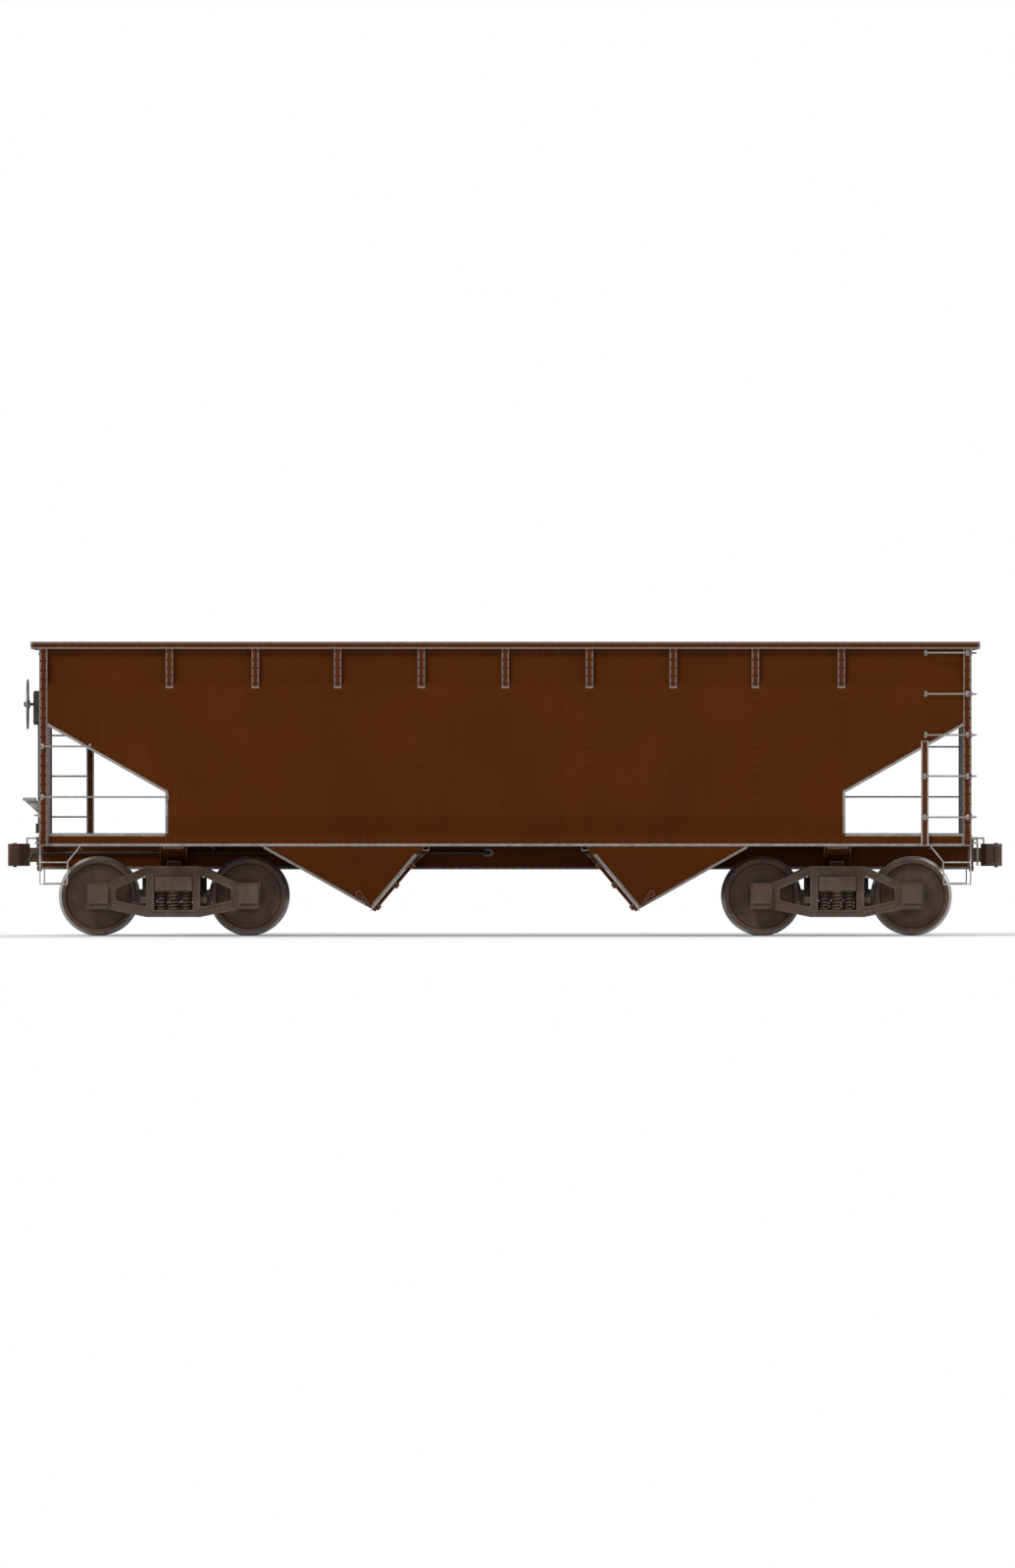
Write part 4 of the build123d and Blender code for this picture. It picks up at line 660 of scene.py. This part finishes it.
# Body rivets. A pair of rows stands ROW to each side of its middle, a row along a slope sheet stands
# RIVET_RISE above its underside, and no two heads are nearer than RIVET_GAP. A pitch is a row's spacing.
RIVET_R = 0.0115
RIVET_GAP = 0.032
RIVET_RISE = 0.056
ROW = 0.024
SHEET_PITCH = 0.085
CHORD_PITCH = 0.095
FRAME_PITCH = 0.100
POST_PITCH = 0.105
END_POST_PITCH = 0.12
END_SHEET_PITCH = 0.11
CHORD_ROW_Z = TOP_Z - 0.042
stake_places = sorted({e * x for x in STAKES for e in SIGNS})
body_rivets = []
for s in SIGNS:
    # Two rows along the side sill, and the rows that hold the inside stakes and the short outer ones.
    for z in (SILL_BOTTOM + 0.048, SILL_BOTTOM + 0.112):
        body_rivets += [on_side(x, z, s) for x in spread(-3.73, 3.73, SHEET_PITCH)]
    for x in stake_places:
        for low, high in ((SILL_TOP + 0.05, LOWER_BEND - 0.05), (LOWER_BEND + 0.05, STUB_FOOT - 0.06)):
            for z in spread(low, high, FRAME_PITCH):
                behind_bar = abs(x) == STAKES[-1] and z < slope_z(SIDE_EDGE_X) + 0.05
                rows = [-math.copysign(ROW, x)] if behind_bar else [-ROW, ROW]
                body_rivets += [on_side(x + d, z, s) for d in rows]
        for z in spread(STUB_FOOT + 0.05, TOP_Z - CHORD_DEPTH - 0.03, CHORD_PITCH):
            body_rivets += [((x + d, s * (BULGE_Y + SHEET), z), (0, s, 0)) for d in (-ROW, ROW)]
    for e in SIGNS:
        # Along the slope sheets' and the ridge's joints with the side.
        for x in spread(SLOPE_FOOT_X + 0.065, POST_BACK - 0.04, SHEET_PITCH):
            body_rivets.append(on_side(e * x, slope_z(x) + RIVET_RISE, s))
        for z in spread(SILL_TOP + 0.05, RIDGE_Z - 0.05, CHORD_PITCH):
            x = (RIDGE_Z - z) * DOOR_TOP_X / (RIDGE_Z - DOOR_TOP_Z)
            body_rivets.append(on_side(e * x, z, s))
        # Corner posts.
        post_x = END_X - POST_W / 2
        for z in spread(SILL_BOTTOM + 0.05, TOP_Z - 0.11, POST_PITCH):
            body_rivets += [((e * (post_x + d), s * POST_FACE_Y, z), (0, s, 0)) for d in (-ROW, ROW)]
    # Chord flange.
    for x in spread(-5.20, 5.20, CHORD_PITCH):
        body_rivets.append(((x, s * CHORD_FACE_Y, CHORD_ROW_Z), (0, s, 0)))
for e in SIGNS:
    outward = (e, 0, 0)
    # End sills, end chord and end posts.
    for z in (SILL_BOTTOM + 0.020, SILL_TOP - 0.020):
        for y in spread(0.26, 1.49, FRAME_PITCH):
            body_rivets += [((e * END_X, s * y, z), outward) for s in SIGNS]
    for y in spread(-1.40, 1.40, FRAME_PITCH):
        body_rivets.append(((e * CHORD_X, y, CHORD_ROW_Z), outward))
    for s in SIGNS:
        for z in spread(SILL_TOP + 0.05, TOP_Z - 0.12, END_POST_PITCH):
            for d in (-0.028, 0.028):
                body_rivets.append(((e * (END_X - 0.006), s * (BRAKE_Y + d), z), outward))
    # The upright end sheet's fold, side and post rows.
    for y in spread(-1.40, 1.40, FRAME_PITCH):
        if min(abs(abs(y) - BRAKE_Y), abs(abs(y) - LADDER_Y[0])) > 0.06:
            body_rivets.append(((e * POST_BACK, y, END_SHEET_FOLD), outward))
    for y in (-1.40, -0.60, -0.44, 0.44, 0.60, 1.40):
        for z in spread(END_SHEET_FOLD + 0.015, TOP_Z - 0.10, END_SHEET_PITCH):
            body_rivets.append(((e * POST_BACK, y, z), outward))
for s in SIGNS:
    # Centre sill webs and bottom flanges.
    for z in (RAIL + 0.75, RAIL + 1.012):
        body_rivets += [((x, s * CENTRE_WEB_Y, z), (0, s, 0)) for x in spread(-0.80, 0.80, FRAME_PITCH)]
    for x in spread(-0.80, 0.80, FRAME_PITCH):
        body_rivets.append(((x, s * CENTRE_FLANGE_Y, CENTRE_BOTTOM + 0.012), (0, 0, 1)))
rivets("body_rivets", apart(body_rivets, RIVET_GAP), RIVET_R, RIVET, "car_body", sides=12)

# Chute walls, whose faces lean in towards the door.
WALL_UP = Vector((0, INSET_Y - CHUTE_FOOT_Y, SILL_BOTTOM - DOOR_TIP_Z)).normalized()
WALL_OUT = Vector((0, WALL_UP.z, -WALL_UP.y))


def chute_y(z):
    """Half width of the chute at a height, to its wall's inner face."""
    return CHUTE_FOOT_Y + (z - DOOR_TIP_Z) * (INSET_Y - CHUTE_FOOT_Y) / (SILL_BOTTOM - DOOR_TIP_Z)


def on_chute(x, z, e, s):
    """The point of a chute wall's outer face at a place on its inner one, at end e and side s."""
    return (e * x, s * (chute_y(z) + SHEET * WALL_OUT.y), z + SHEET * WALL_OUT.z)


def up_door(share, dx, dz):
    """(x, height) a share of the way up a door, moved by dx and dz."""
    x = DOOR_TIP_X + (DOOR_TOP_X - DOOR_TIP_X) * share + dx
    return x, DOOR_TIP_Z + (DOOR_TOP_Z - DOOR_TIP_Z) * share + dz


chute_rivets = []
for e, s in product(SIGNS, repeat=2):
    along = spread(DOOR_TIP_X + 0.12, SLOPE_FOOT_X - 0.13, SHEET_PITCH)
    places = [(x, slope_z(x) + RIVET_RISE) for x in along]
    places += [up_door(share, 0.066, 0.03) for share in spread(0.06, 0.90, 0.11)]
    normal = (0, s * WALL_OUT.y, WALL_OUT.z)
    chute_rivets += [(on_chute(x, z, e, s), normal) for x, z in places]
rivets("chute_rivets", chute_rivets, RIVET_R, RIVET, "car_body", sides=12)

# The grey bars that edge the sheets (the open ends' cut-outs, the sills and the chutes), and the plates
# that close the chute walls' top corners. The sill's bars stop at the side ladder's stile.
CORNER_X = DOOR_TOP_X * (RIDGE_Z - SILL_BOTTOM) / (RIDGE_Z - DOOR_TOP_Z)
EDGE_BAR = 0.028
EDGE_THICK = 0.004
HALF_BAR = EDGE_BAR / 2
SLOPE_RISE = HALF_BAR / math.cos(SLOPE_ANGLE)
STILE_GAP = (4.618, 4.707)
SILL_BAR_X = (SIDE_EDGE_X + 0.002, POST_BACK - 0.002)
edges, corner_plates = empty(), empty()


def edge_on_side(points, s):
    """A bar along (x, height) points of a side's outer face."""
    spots, normals = zip(*[on_side(x, z, s) for x, z in points])
    add(edges, ribbon(spots, normals, EDGE_BAR, EDGE_THICK))


def edge_on_sill(x_pair, z, s):
    """A level bar on the side sill's own face, past the side sheet's edge."""
    add(edges, ribbon([(x, s * INSET_Y, z) for x in x_pair], [(0, s, 0)] * 2, EDGE_BAR, EDGE_THICK))


for e, s in product(SIGNS, repeat=2):
    x0 = SIDE_EDGE_X - HALF_BAR
    cut = [(e * x0, z) for z in (SILL_TOP + 0.002, 1.24, LOWER_BEND, slope_z(x0) + SLOPE_RISE)]
    cut += [(e * x, slope_z(x) + SLOPE_RISE) for x in (4.2, 4.65, SILL_BAR_X[1])]
    edge_on_side(cut, s)
    pairs = [SILL_BAR_X]
    if e * s == LADDER_CORNER:
        pairs = [(SILL_BAR_X[0], STILE_GAP[0]), (STILE_GAP[1], SILL_BAR_X[1])]
    for z, pair in product((SILL_BOTTOM + HALF_BAR, SILL_TOP - HALF_BAR), pairs):
        edge_on_sill([e * x for x in pair], z, s)
for s in SIGNS:
    edge_on_side([(x, SILL_BOTTOM + HALF_BAR) for x in (-SIDE_EDGE_X, SIDE_EDGE_X)], s)
    for e in SIGNS:
        normal = (0, s * WALL_OUT.y, WALL_OUT.z)
        slope_line = [(x, slope_z(x) + SLOPE_RISE) for x in (SLOPE_FOOT_X - 0.04, 2.1, DOOR_TIP_X + 0.045)]
        door_line = [up_door(share, HALF_BAR / math.sin(DOOR_ANGLE), 0.004) for share in (0.03, 0.5, 1.0)]
        for line in (slope_line, door_line):
            spots = [on_chute(x, z, e, s) for x, z in line]
            add(edges, ribbon(spots, [normal] * len(line), EDGE_BAR, EDGE_THICK))
        corner = [(CORNER_X - 0.006, SILL_BOTTOM), (DOOR_TOP_X + 0.012, SILL_BOTTOM)]
        corner.append((DOOR_TOP_X + 0.002, DOOR_TOP_Z + 0.004))
        add(corner_plates, slab([on_chute(x, z, e, s) for x, z in corner], normal, SHEET))
mesh_piece("edge_bars", edges, EDGE_STEEL, "car_body")
mesh_piece("chute_corners", corner_plates, SIDE_SHEET, "car_body")

# Truck springs: three outer coils on each side, each with a finer one inside it, wound the other way.
OUTER_COIL = {"radius": 0.054, "wire": 0.0135, "turns": 6.5, "hand": 1}
INNER_COIL = {"radius": 0.026, "wire": 0.009, "turns": 9.5, "hand": -1}
COIL_PLACES = ((-0.138, -0.030), (0.138, -0.030), (0.0, 0.030))
COIL_STEPS = 22
FLAT_TURNS = 0.8


def coil(x, y, radius, wire, turns, hand):
    """A compression spring on the spring seat, with closed, flattened end turns."""
    path = []
    for i in range(round(turns * COIL_STEPS) + 1):
        turn = i / COIL_STEPS
        share = min(max((turn - FLAT_TURNS) / (turns - 2 * FLAT_TURNS), 0.0), 1.0)
        a = hand * 2 * math.pi * turn
        z = SPRING_SEAT + wire + (SPRING_H - 2 * wire) * share
        path.append((x + radius * math.cos(a), y + radius * math.sin(a), z))
    return tube(path, wire, 12)


for e, end in ENDS:
    whole = empty()
    for s in SIGNS:
        for dx, dy in COIL_PLACES:
            for kind in (OUTER_COIL, INNER_COIL):
                add(whole, coil(e * TRUCK_X + dx, s * (JOURNAL_Y + dy), **kind))
    springs = mesh_piece(f"coil_springs_{end}", whole, SPRING, f"truck_{end}", smooth=True)
    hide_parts(f"truck_{end}_springs")

# Cast truck details: flanges round the frames' edges and windows, journal lids and the bolster's end.
# The side frame's lines are (x from the truck's centre, height) pairs.
FRAME_FACE_Y = JOURNAL_Y + 0.060
LID_Y = JOURNAL_Y + 0.122
BOLSTER_FACE_Y = 1.083
BOLSTER_UNDER = SPRING_SEAT + SPRING_H
FRAME_TOP = RAIL + 0.752
FRAME_BOTTOM = RAIL + 0.185
WAIST = 0.300
SHOULDER = AXLE_DX - 0.130


def mirrored(points):
    """The pairs with their x turned about, in the opposite order."""
    return [(-x, z) for x, z in points][::-1]


top_line = [(SHOULDER - 0.004, AXLE_Z + 0.141), (WAIST - 0.003, FRAME_TOP - 0.010)]
top_line += mirrored(top_line)
low_line = [(SHOULDER - 0.004, AXLE_Z - 0.141), (WAIST - 0.003, FRAME_BOTTOM + 0.010)]
low_line += mirrored(low_line)
window = [
    (WAIST - 0.012, FRAME_TOP - 0.084),
    (0.654, AXLE_Z + 0.083),
    (0.654, AXLE_Z - 0.060),
    (WAIST - 0.012, SPRING_SEAT + 0.016),
]
middle = [(0.225, FRAME_TOP - 0.090), (0.225, SPRING_SEAT - 0.010)]
middle += mirrored(middle)
bolster_end = [(-0.17, BOLSTER_UNDER + 0.025), (-0.17, BOLSTER_UNDER + 0.140)]
bolster_end += mirrored(bolster_end)
LID_LEAN = (0.996, 0.089)
LID_RING = 0.058


def journal_lid(x, s):
    """The hinge pin and its lugs, and the rim and latch that stand out from a journal box's leaning lid."""
    lid, y = empty(), s * LID_Y
    pin = [(x + dx, y + s * 0.012, AXLE_Z + 0.127) for dx in (-0.062, 0.062)]
    add(lid, tube(pin, 0.013))
    for k in SIGNS:
        add(lid, upright_block((x + k * 0.078, y, AXLE_Z + 0.124), 0.010, 0.022, 0.016))
    mid = Vector((x, y + s * 0.027, AXLE_Z + 0.010))
    normal = Vector((0, s * LID_LEAN[0], LID_LEAN[1]))
    rim = []
    for t in around(20):
        up = LID_RING * math.sin(t)
        rim.append(mid + Vector((LID_RING * math.cos(t), -s * LID_LEAN[1] * up, up)))
    add(lid, ribbon(rim, [normal] * len(rim), 0.012, 0.008, closed=True))
    latch = mid + normal * 0.004 - Vector((0, 0, 0.075))
    add(lid, block(latch, (0.030, 0, 0), normal * 0.006, (0, 0, 0.010)))
    return lid


for e, end in ENDS:
    flanges, fittings, bolts = empty(), empty(), []
    centre_x = e * TRUCK_X
    for s in SIGNS:
        face = (0, s, 0)
        for line in (top_line, low_line):
            spots = [(centre_x + x, s * FRAME_FACE_Y, z) for x, z in line]
            add(flanges, ribbon(spots, [face] * 4, 0.020, 0.014))
        for loop in (window, mirrored(window), middle):
            spots = [(centre_x + x, s * FRAME_FACE_Y, z) for x, z in loop]
            add(flanges, ribbon(spots, [face] * 4, 0.016, 0.012, closed=True))
        for dx in (-AXLE_DX, AXLE_DX):
            x = centre_x + dx
            add(fittings, journal_lid(x, s))
            for k in SIGNS:
                bolts += [((x + k * 0.100, s * LID_Y, AXLE_Z + z), face) for z in (-0.110, 0.112)]
                bolts += [((x + k * 0.095, s * FRAME_FACE_Y, AXLE_Z + z), face) for z in (-0.142, 0.142)]
        spots = [(centre_x + x, s * BOLSTER_FACE_Y, z) for x, z in bolster_end]
        add(fittings, ribbon(spots, [face] * 4, 0.016, 0.008, closed=True))
        for dx in (-0.06, 0.06):
            rib = (centre_x + dx, s * (BOLSTER_FACE_Y + 0.003), BOLSTER_UNDER + 0.082)
            add(fittings, upright_block(rib, 0.008, 0.004, 0.055))
    body = f"truck_{end}"
    mesh_piece(f"frame_flanges_{end}", flanges, CAST, body)
    mesh_piece(f"journal_lids_{end}", fittings, CAST, body)
    rivets(f"truck_bolts_{end}", bolts, 0.011, CAST, body)

# Hopper doors: bolts along the cross ribs and on the hinge straps.
DOOR_SIN = math.sin(DOOR_ANGLE)
DOOR_COS = math.cos(DOOR_ANGLE)
DOOR_LENGTH = (DOOR_TOP_Z - DOOR_TIP_Z) / DOOR_SIN
RIB_DEPTH = 0.065
STRAP_DEPTH = 0.039


def door_spot(down, depth, y, e, s):
    """A bolt's place down the door from its top and under its plate, and the normal there."""
    x = DOOR_TOP_X + down * DOOR_COS - depth * DOOR_SIN
    z = DOOR_TOP_Z - down * DOOR_SIN - depth * DOOR_COS
    return (e * x, s * y, z), (-e * DOOR_SIN, 0, -DOOR_COS)


for e, end in ENDS:
    for s, side in ((1, "left"), (-1, "right")):
        spots = []
        for share in (0.14, 0.5, 0.9):
            for offset in (0.012, 0.038):
                down = DOOR_LENGTH * share + offset
                edge_y = chute_y(DOOR_TOP_Z - down * DOOR_SIN) - 0.070
                spots += [door_spot(down, RIB_DEPTH, y, e, s) for y in spread(0.300, edge_y, 0.11)]
        for y in (0.420, 1.060):
            for down, d in product((0.040, 0.064), (-0.013, 0.013)):
                spots.append(door_spot(down, STRAP_DEPTH, y + d, e, s))
        rivets(f"door_bolts_{end}_{side}", spots, 0.010, RIVET, f"door_{end}_{side}")

# Feet and bolts of the ladder rungs and grab irons.
pads, pad_bolts = empty(), []


def foot_pad(point, normal, along=(0, 0, 1)):
    """A small riveted foot where a round bar meets a plate."""
    n, v = Vector(normal), Vector(along)
    w = n.cross(v)
    p = Vector(point)
    add(pads, block(p + n * 0.003, v * 0.030, w * 0.014, n * 0.0035))
    pad_bolts.extend([(p + v * k + n * 0.006, normal) for k in (-0.021, 0.021)])


# The ladders' rungs. The lowest ones end on the side ladder's stile, and the others on the side sheet.
RUNGS = [RAIL + 1.298 + 0.457 * i for i in range(5)]
STILE_RUNGS = 2
STILE_PAD_X = 4.6625
SHEET_PAD_X = 4.673
for e in SIGNS:
    ladder, grab = e * LADDER_CORNER, -e * LADDER_CORNER
    for i, z in enumerate(RUNGS):
        foot_pad((e * (END_X - POST_W / 2), ladder * POST_FACE_Y, z), (0, ladder, 0))
        if i < STILE_RUNGS:
            foot_pad((e * STILE_PAD_X, ladder * POST_FACE_Y, z), (0, ladder, 0))
        else:
            foot_pad((e * SHEET_PAD_X, ladder * side_at(z)[0], z), (0, ladder, 0))
        for y in LADDER_Y:
            foot_pad((e * END_X, ladder * y, z), (e, 0, 0))
    for z, x in ((RAIL + 2.085, 4.620), (RAIL + 1.523, SIDE_EDGE_X - 0.020)):
        foot_pad((e * x, grab * side_at(z)[0], z), (0, grab, 0))
        foot_pad((e * (END_X - 0.034), grab * POST_FACE_Y, z), (0, grab, 0))
    for y in LADDER_Y:
        foot_pad((e * END_X, grab * y, RAIL + 1.320), (e, 0, 0))
    for s in SIGNS:
        for y in (0.620, 1.120):
            foot_pad((e * END_X, s * y, SILL_BOTTOM + 0.035), (e, 0, 0), (0, 1, 0))
        # The sill steps' feet.
        for x in (END_X - 0.007, END_X - 0.465):
            pad_bolts.append(((e * x, s * 1.4155, SILL_BOTTOM - 0.03), (0, s, 0)))
mesh_piece("rung_feet", pads, GRAB, "car_body")
rivets("rung_bolts", pad_bolts, 0.0075, GRAB, "car_body")

# The hand brake's case cover, the brake step's tread bars, and bolts on the brake gear and the strikers.
CASE_X = -(END_X + 0.095)
CASE_Z = RAIL + 2.520
CASE_HALF = (0.062, 0.147)
CASE_ROUND = 0.022
cover, cover_bolts, corners = empty(), [], []
for start, (sy, sz) in enumerate(((1, 1), (-1, 1), (-1, -1), (1, -1))):
    for k in range(5):
        a = math.pi / 2 * (start + k / 4)
        y = BRAKE_Y + sy * CASE_HALF[0] + CASE_ROUND * math.cos(a)
        corners.append((CASE_X, y, CASE_Z + sz * CASE_HALF[1] + CASE_ROUND * math.sin(a)))
add(cover, ribbon(corners, [(-1, 0, 0)] * len(corners), 0.014, 0.006, closed=True))
add(cover, upright_block((CASE_X - 0.003, BRAKE_Y, CASE_Z - 0.115), 0.004, 0.045, 0.022))
for y in (-0.074, 0.074):
    cover_bolts += [((CASE_X, BRAKE_Y + y, CASE_Z + z), (-1, 0, 0)) for z in (-0.10, 0.0, 0.10)]
mesh_piece("brake_case_cover", cover, BRAKE, "car_body")
DECK_X = -(END_X + 0.1425)
DECK_Z = RAIL + 1.512
treads = empty()
for y in spread(BRAKE_Y - 0.340, BRAKE_Y + 0.280, 0.040):
    add(treads, upright_block((DECK_X, y, DECK_Z + 0.001), 0.062, 0.006, 0.0025))
mesh_piece("step_treads", treads, GRAB, "car_body")
# The cylinder's two bolted rims: (y, ring radius, the way its bolts face).
for y, radius, sy in ((-0.5675, 0.1175, 1), (-0.8735, 0.105, -1)):
    for a in around(10):
        spot = (TANK_X + radius * math.cos(a), y, TANK_Z + radius * math.sin(a))
        cover_bolts.append((spot, (0, sy, 0)))
rivets("brake_bolts", cover_bolts, 0.010, BRAKE, "car_body")
striker_bolts = []
for e, s, rise in product(SIGNS, SIGNS, (0.015, 0.120, 0.230, 0.325)):
    striker_bolts.append(((e * (END_X + 0.045), s * 0.150, CENTRE_BOTTOM + rise), (e, 0, 0)))
rivets("striker_bolts", striker_bolts, 0.013, COUPLER, "car_body")

# Air pipes between the valve, the brake pipe and the reservoir, as (radius, points), and bands round
# the reservoir.
PIPE_RUNS = (
    (0.011, [(-3.240, -0.215, 0.926), (-3.240, -0.300, 0.968), (-3.240, -1.080, 0.968),
             (-3.262, -1.120, 0.985), (-3.300, -1.120, 1.060), (-3.345, -1.120, 1.085)]),
    (0.011, [(-3.340, -1.050, 1.150), (-3.290, -1.000, 1.160), (-3.255, -0.900, 1.130),
             (-3.255, -0.200, 1.100), (-3.255, 0.200, 1.100), (-3.285, 0.300, 1.130),
             (-3.330, 0.345, 1.150)]),
    (0.008, [(-3.345, -1.180, 1.190), (-3.300, -1.180, 1.215), (-3.262, -1.120, 1.225),
             (-3.262, -0.990, 1.205), (-3.300, -0.960, 1.190), (-3.345, -0.955, 1.180)]),
)
BAND_R = 0.1352
pipes = empty()
for radius, run in PIPE_RUNS:
    add(pipes, tube(run, radius))
for y in (0.450, 0.870):
    outward = [(math.cos(a), 0, math.sin(a)) for a in around(32)]
    ring = [(TANK_X + BAND_R * x, y, TANK_Z + BAND_R * z) for x, _, z in outward]
    add(pipes, ribbon(ring, outward, 0.032, 0.004, closed=True))
mesh_piece("air_pipes", pipes, BRAKE, "car_body")


# Floor, light and camera
def plain(name, colour):
    """The floor's even, dull white."""
    m = bpy.data.materials.new(name)
    m.use_nodes = True
    bsdf = m.node_tree.nodes["Principled BSDF"]
    bsdf.inputs["Base Color"].default_value = colour
    bsdf.inputs["Roughness"].default_value = 0.9
    return m


FLOOR_HALF = 60.0
floor_corners = [(FLOOR_HALF * x, FLOOR_HALF * y, 0) for x, y in ((-1, -1), (1, -1), (1, 1), (-1, 1))]
floor_mesh = bpy.data.meshes.new("floor")
floor_mesh.from_pydata(floor_corners, [], [(0, 1, 2, 3)])
floor_mesh.materials.append(plain("floor_pale", (0.9, 0.9, 0.9, 1)))
floor = bpy.data.objects.new("floor", floor_mesh)
bpy.context.scene.collection.objects.link(floor)
floor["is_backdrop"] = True

# A sky that lights at AMBIENT, but is seen plain white by the camera and in reflections.
AMBIENT = 0.62
world = bpy.data.worlds.new("studio")
bpy.context.scene.world = world
world.use_nodes = True
nt = world.node_tree
nt.nodes.clear()
rays = nt.nodes.new("ShaderNodeLightPath")
seen = rays.outputs["Is Camera Ray"]
for ray in ("Is Glossy Ray", "Is Transmission Ray"):
    either = nt.nodes.new("ShaderNodeMath")
    either.operation = "MAXIMUM"
    nt.links.new(seen, either.inputs[0])
    nt.links.new(rays.outputs[ray], either.inputs[1])
    seen = either.outputs[0]
mixer = nt.nodes.new("ShaderNodeMixShader")
nt.links.new(seen, mixer.inputs[0])
for socket, strength in ((1, AMBIENT), (2, 1.0)):
    sky = nt.nodes.new("ShaderNodeBackground")
    sky.inputs["Color"].default_value = (1, 1, 1, 1)
    sky.inputs["Strength"].default_value = strength
    nt.links.new(sky.outputs[0], mixer.inputs[socket])
world_out = nt.nodes.new("ShaderNodeOutputWorld")
nt.links.new(mixer.outputs[0], world_out.inputs[0])


def sun(name, direction, strength, angle):
    """A sun that shines along the direction, its disc angle degrees wide."""
    data = bpy.data.lights.new(name, "SUN")
    data.energy = strength
    data.angle = math.radians(angle)
    obj = bpy.data.objects.new(name, data)
    obj.rotation_mode = "QUATERNION"
    obj.rotation_quaternion = Vector(direction).to_track_quat("-Z", "Y")
    bpy.context.scene.collection.objects.link(obj)


sun("key", (0.45, 0.85, -0.75), 1.55, 14)
sun("fill", (-0.75, -0.60, -0.55), 1.1, 30)
sun("front", (0.04, 1.0, -0.05), 0.5, 12)

# A long lens square to the side. PIXEL is one picture pixel in metres at the side's face, and the
# picture's middle column is 2.2 pixels right of the wagon's.
PIXEL = 0.0109
PICTURE_PIXELS = 1599
SHIFT_PIXELS = 2.2
LENS = 600.0
SENSOR = 36.0
SIDE_FACE_Y = -1.55
EYE_Z = 1.693
distance = PICTURE_PIXELS * PIXEL * LENS / SENSOR
camera_data = bpy.data.cameras.new("camera")
camera_data.lens = LENS
camera_data.sensor_width = SENSOR
camera_data.clip_start = 1.0
camera_data.clip_end = 1000.0
camera = bpy.data.objects.new("camera", camera_data)
camera.location = (SHIFT_PIXELS * PIXEL, SIDE_FACE_Y - distance, EYE_Z)
camera.rotation_euler = (math.radians(90), 0, 0)
bpy.context.scene.collection.objects.link(camera)
bpy.context.scene.camera = camera
bpy.context.scene.view_settings.view_transform = "Standard"

low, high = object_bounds()
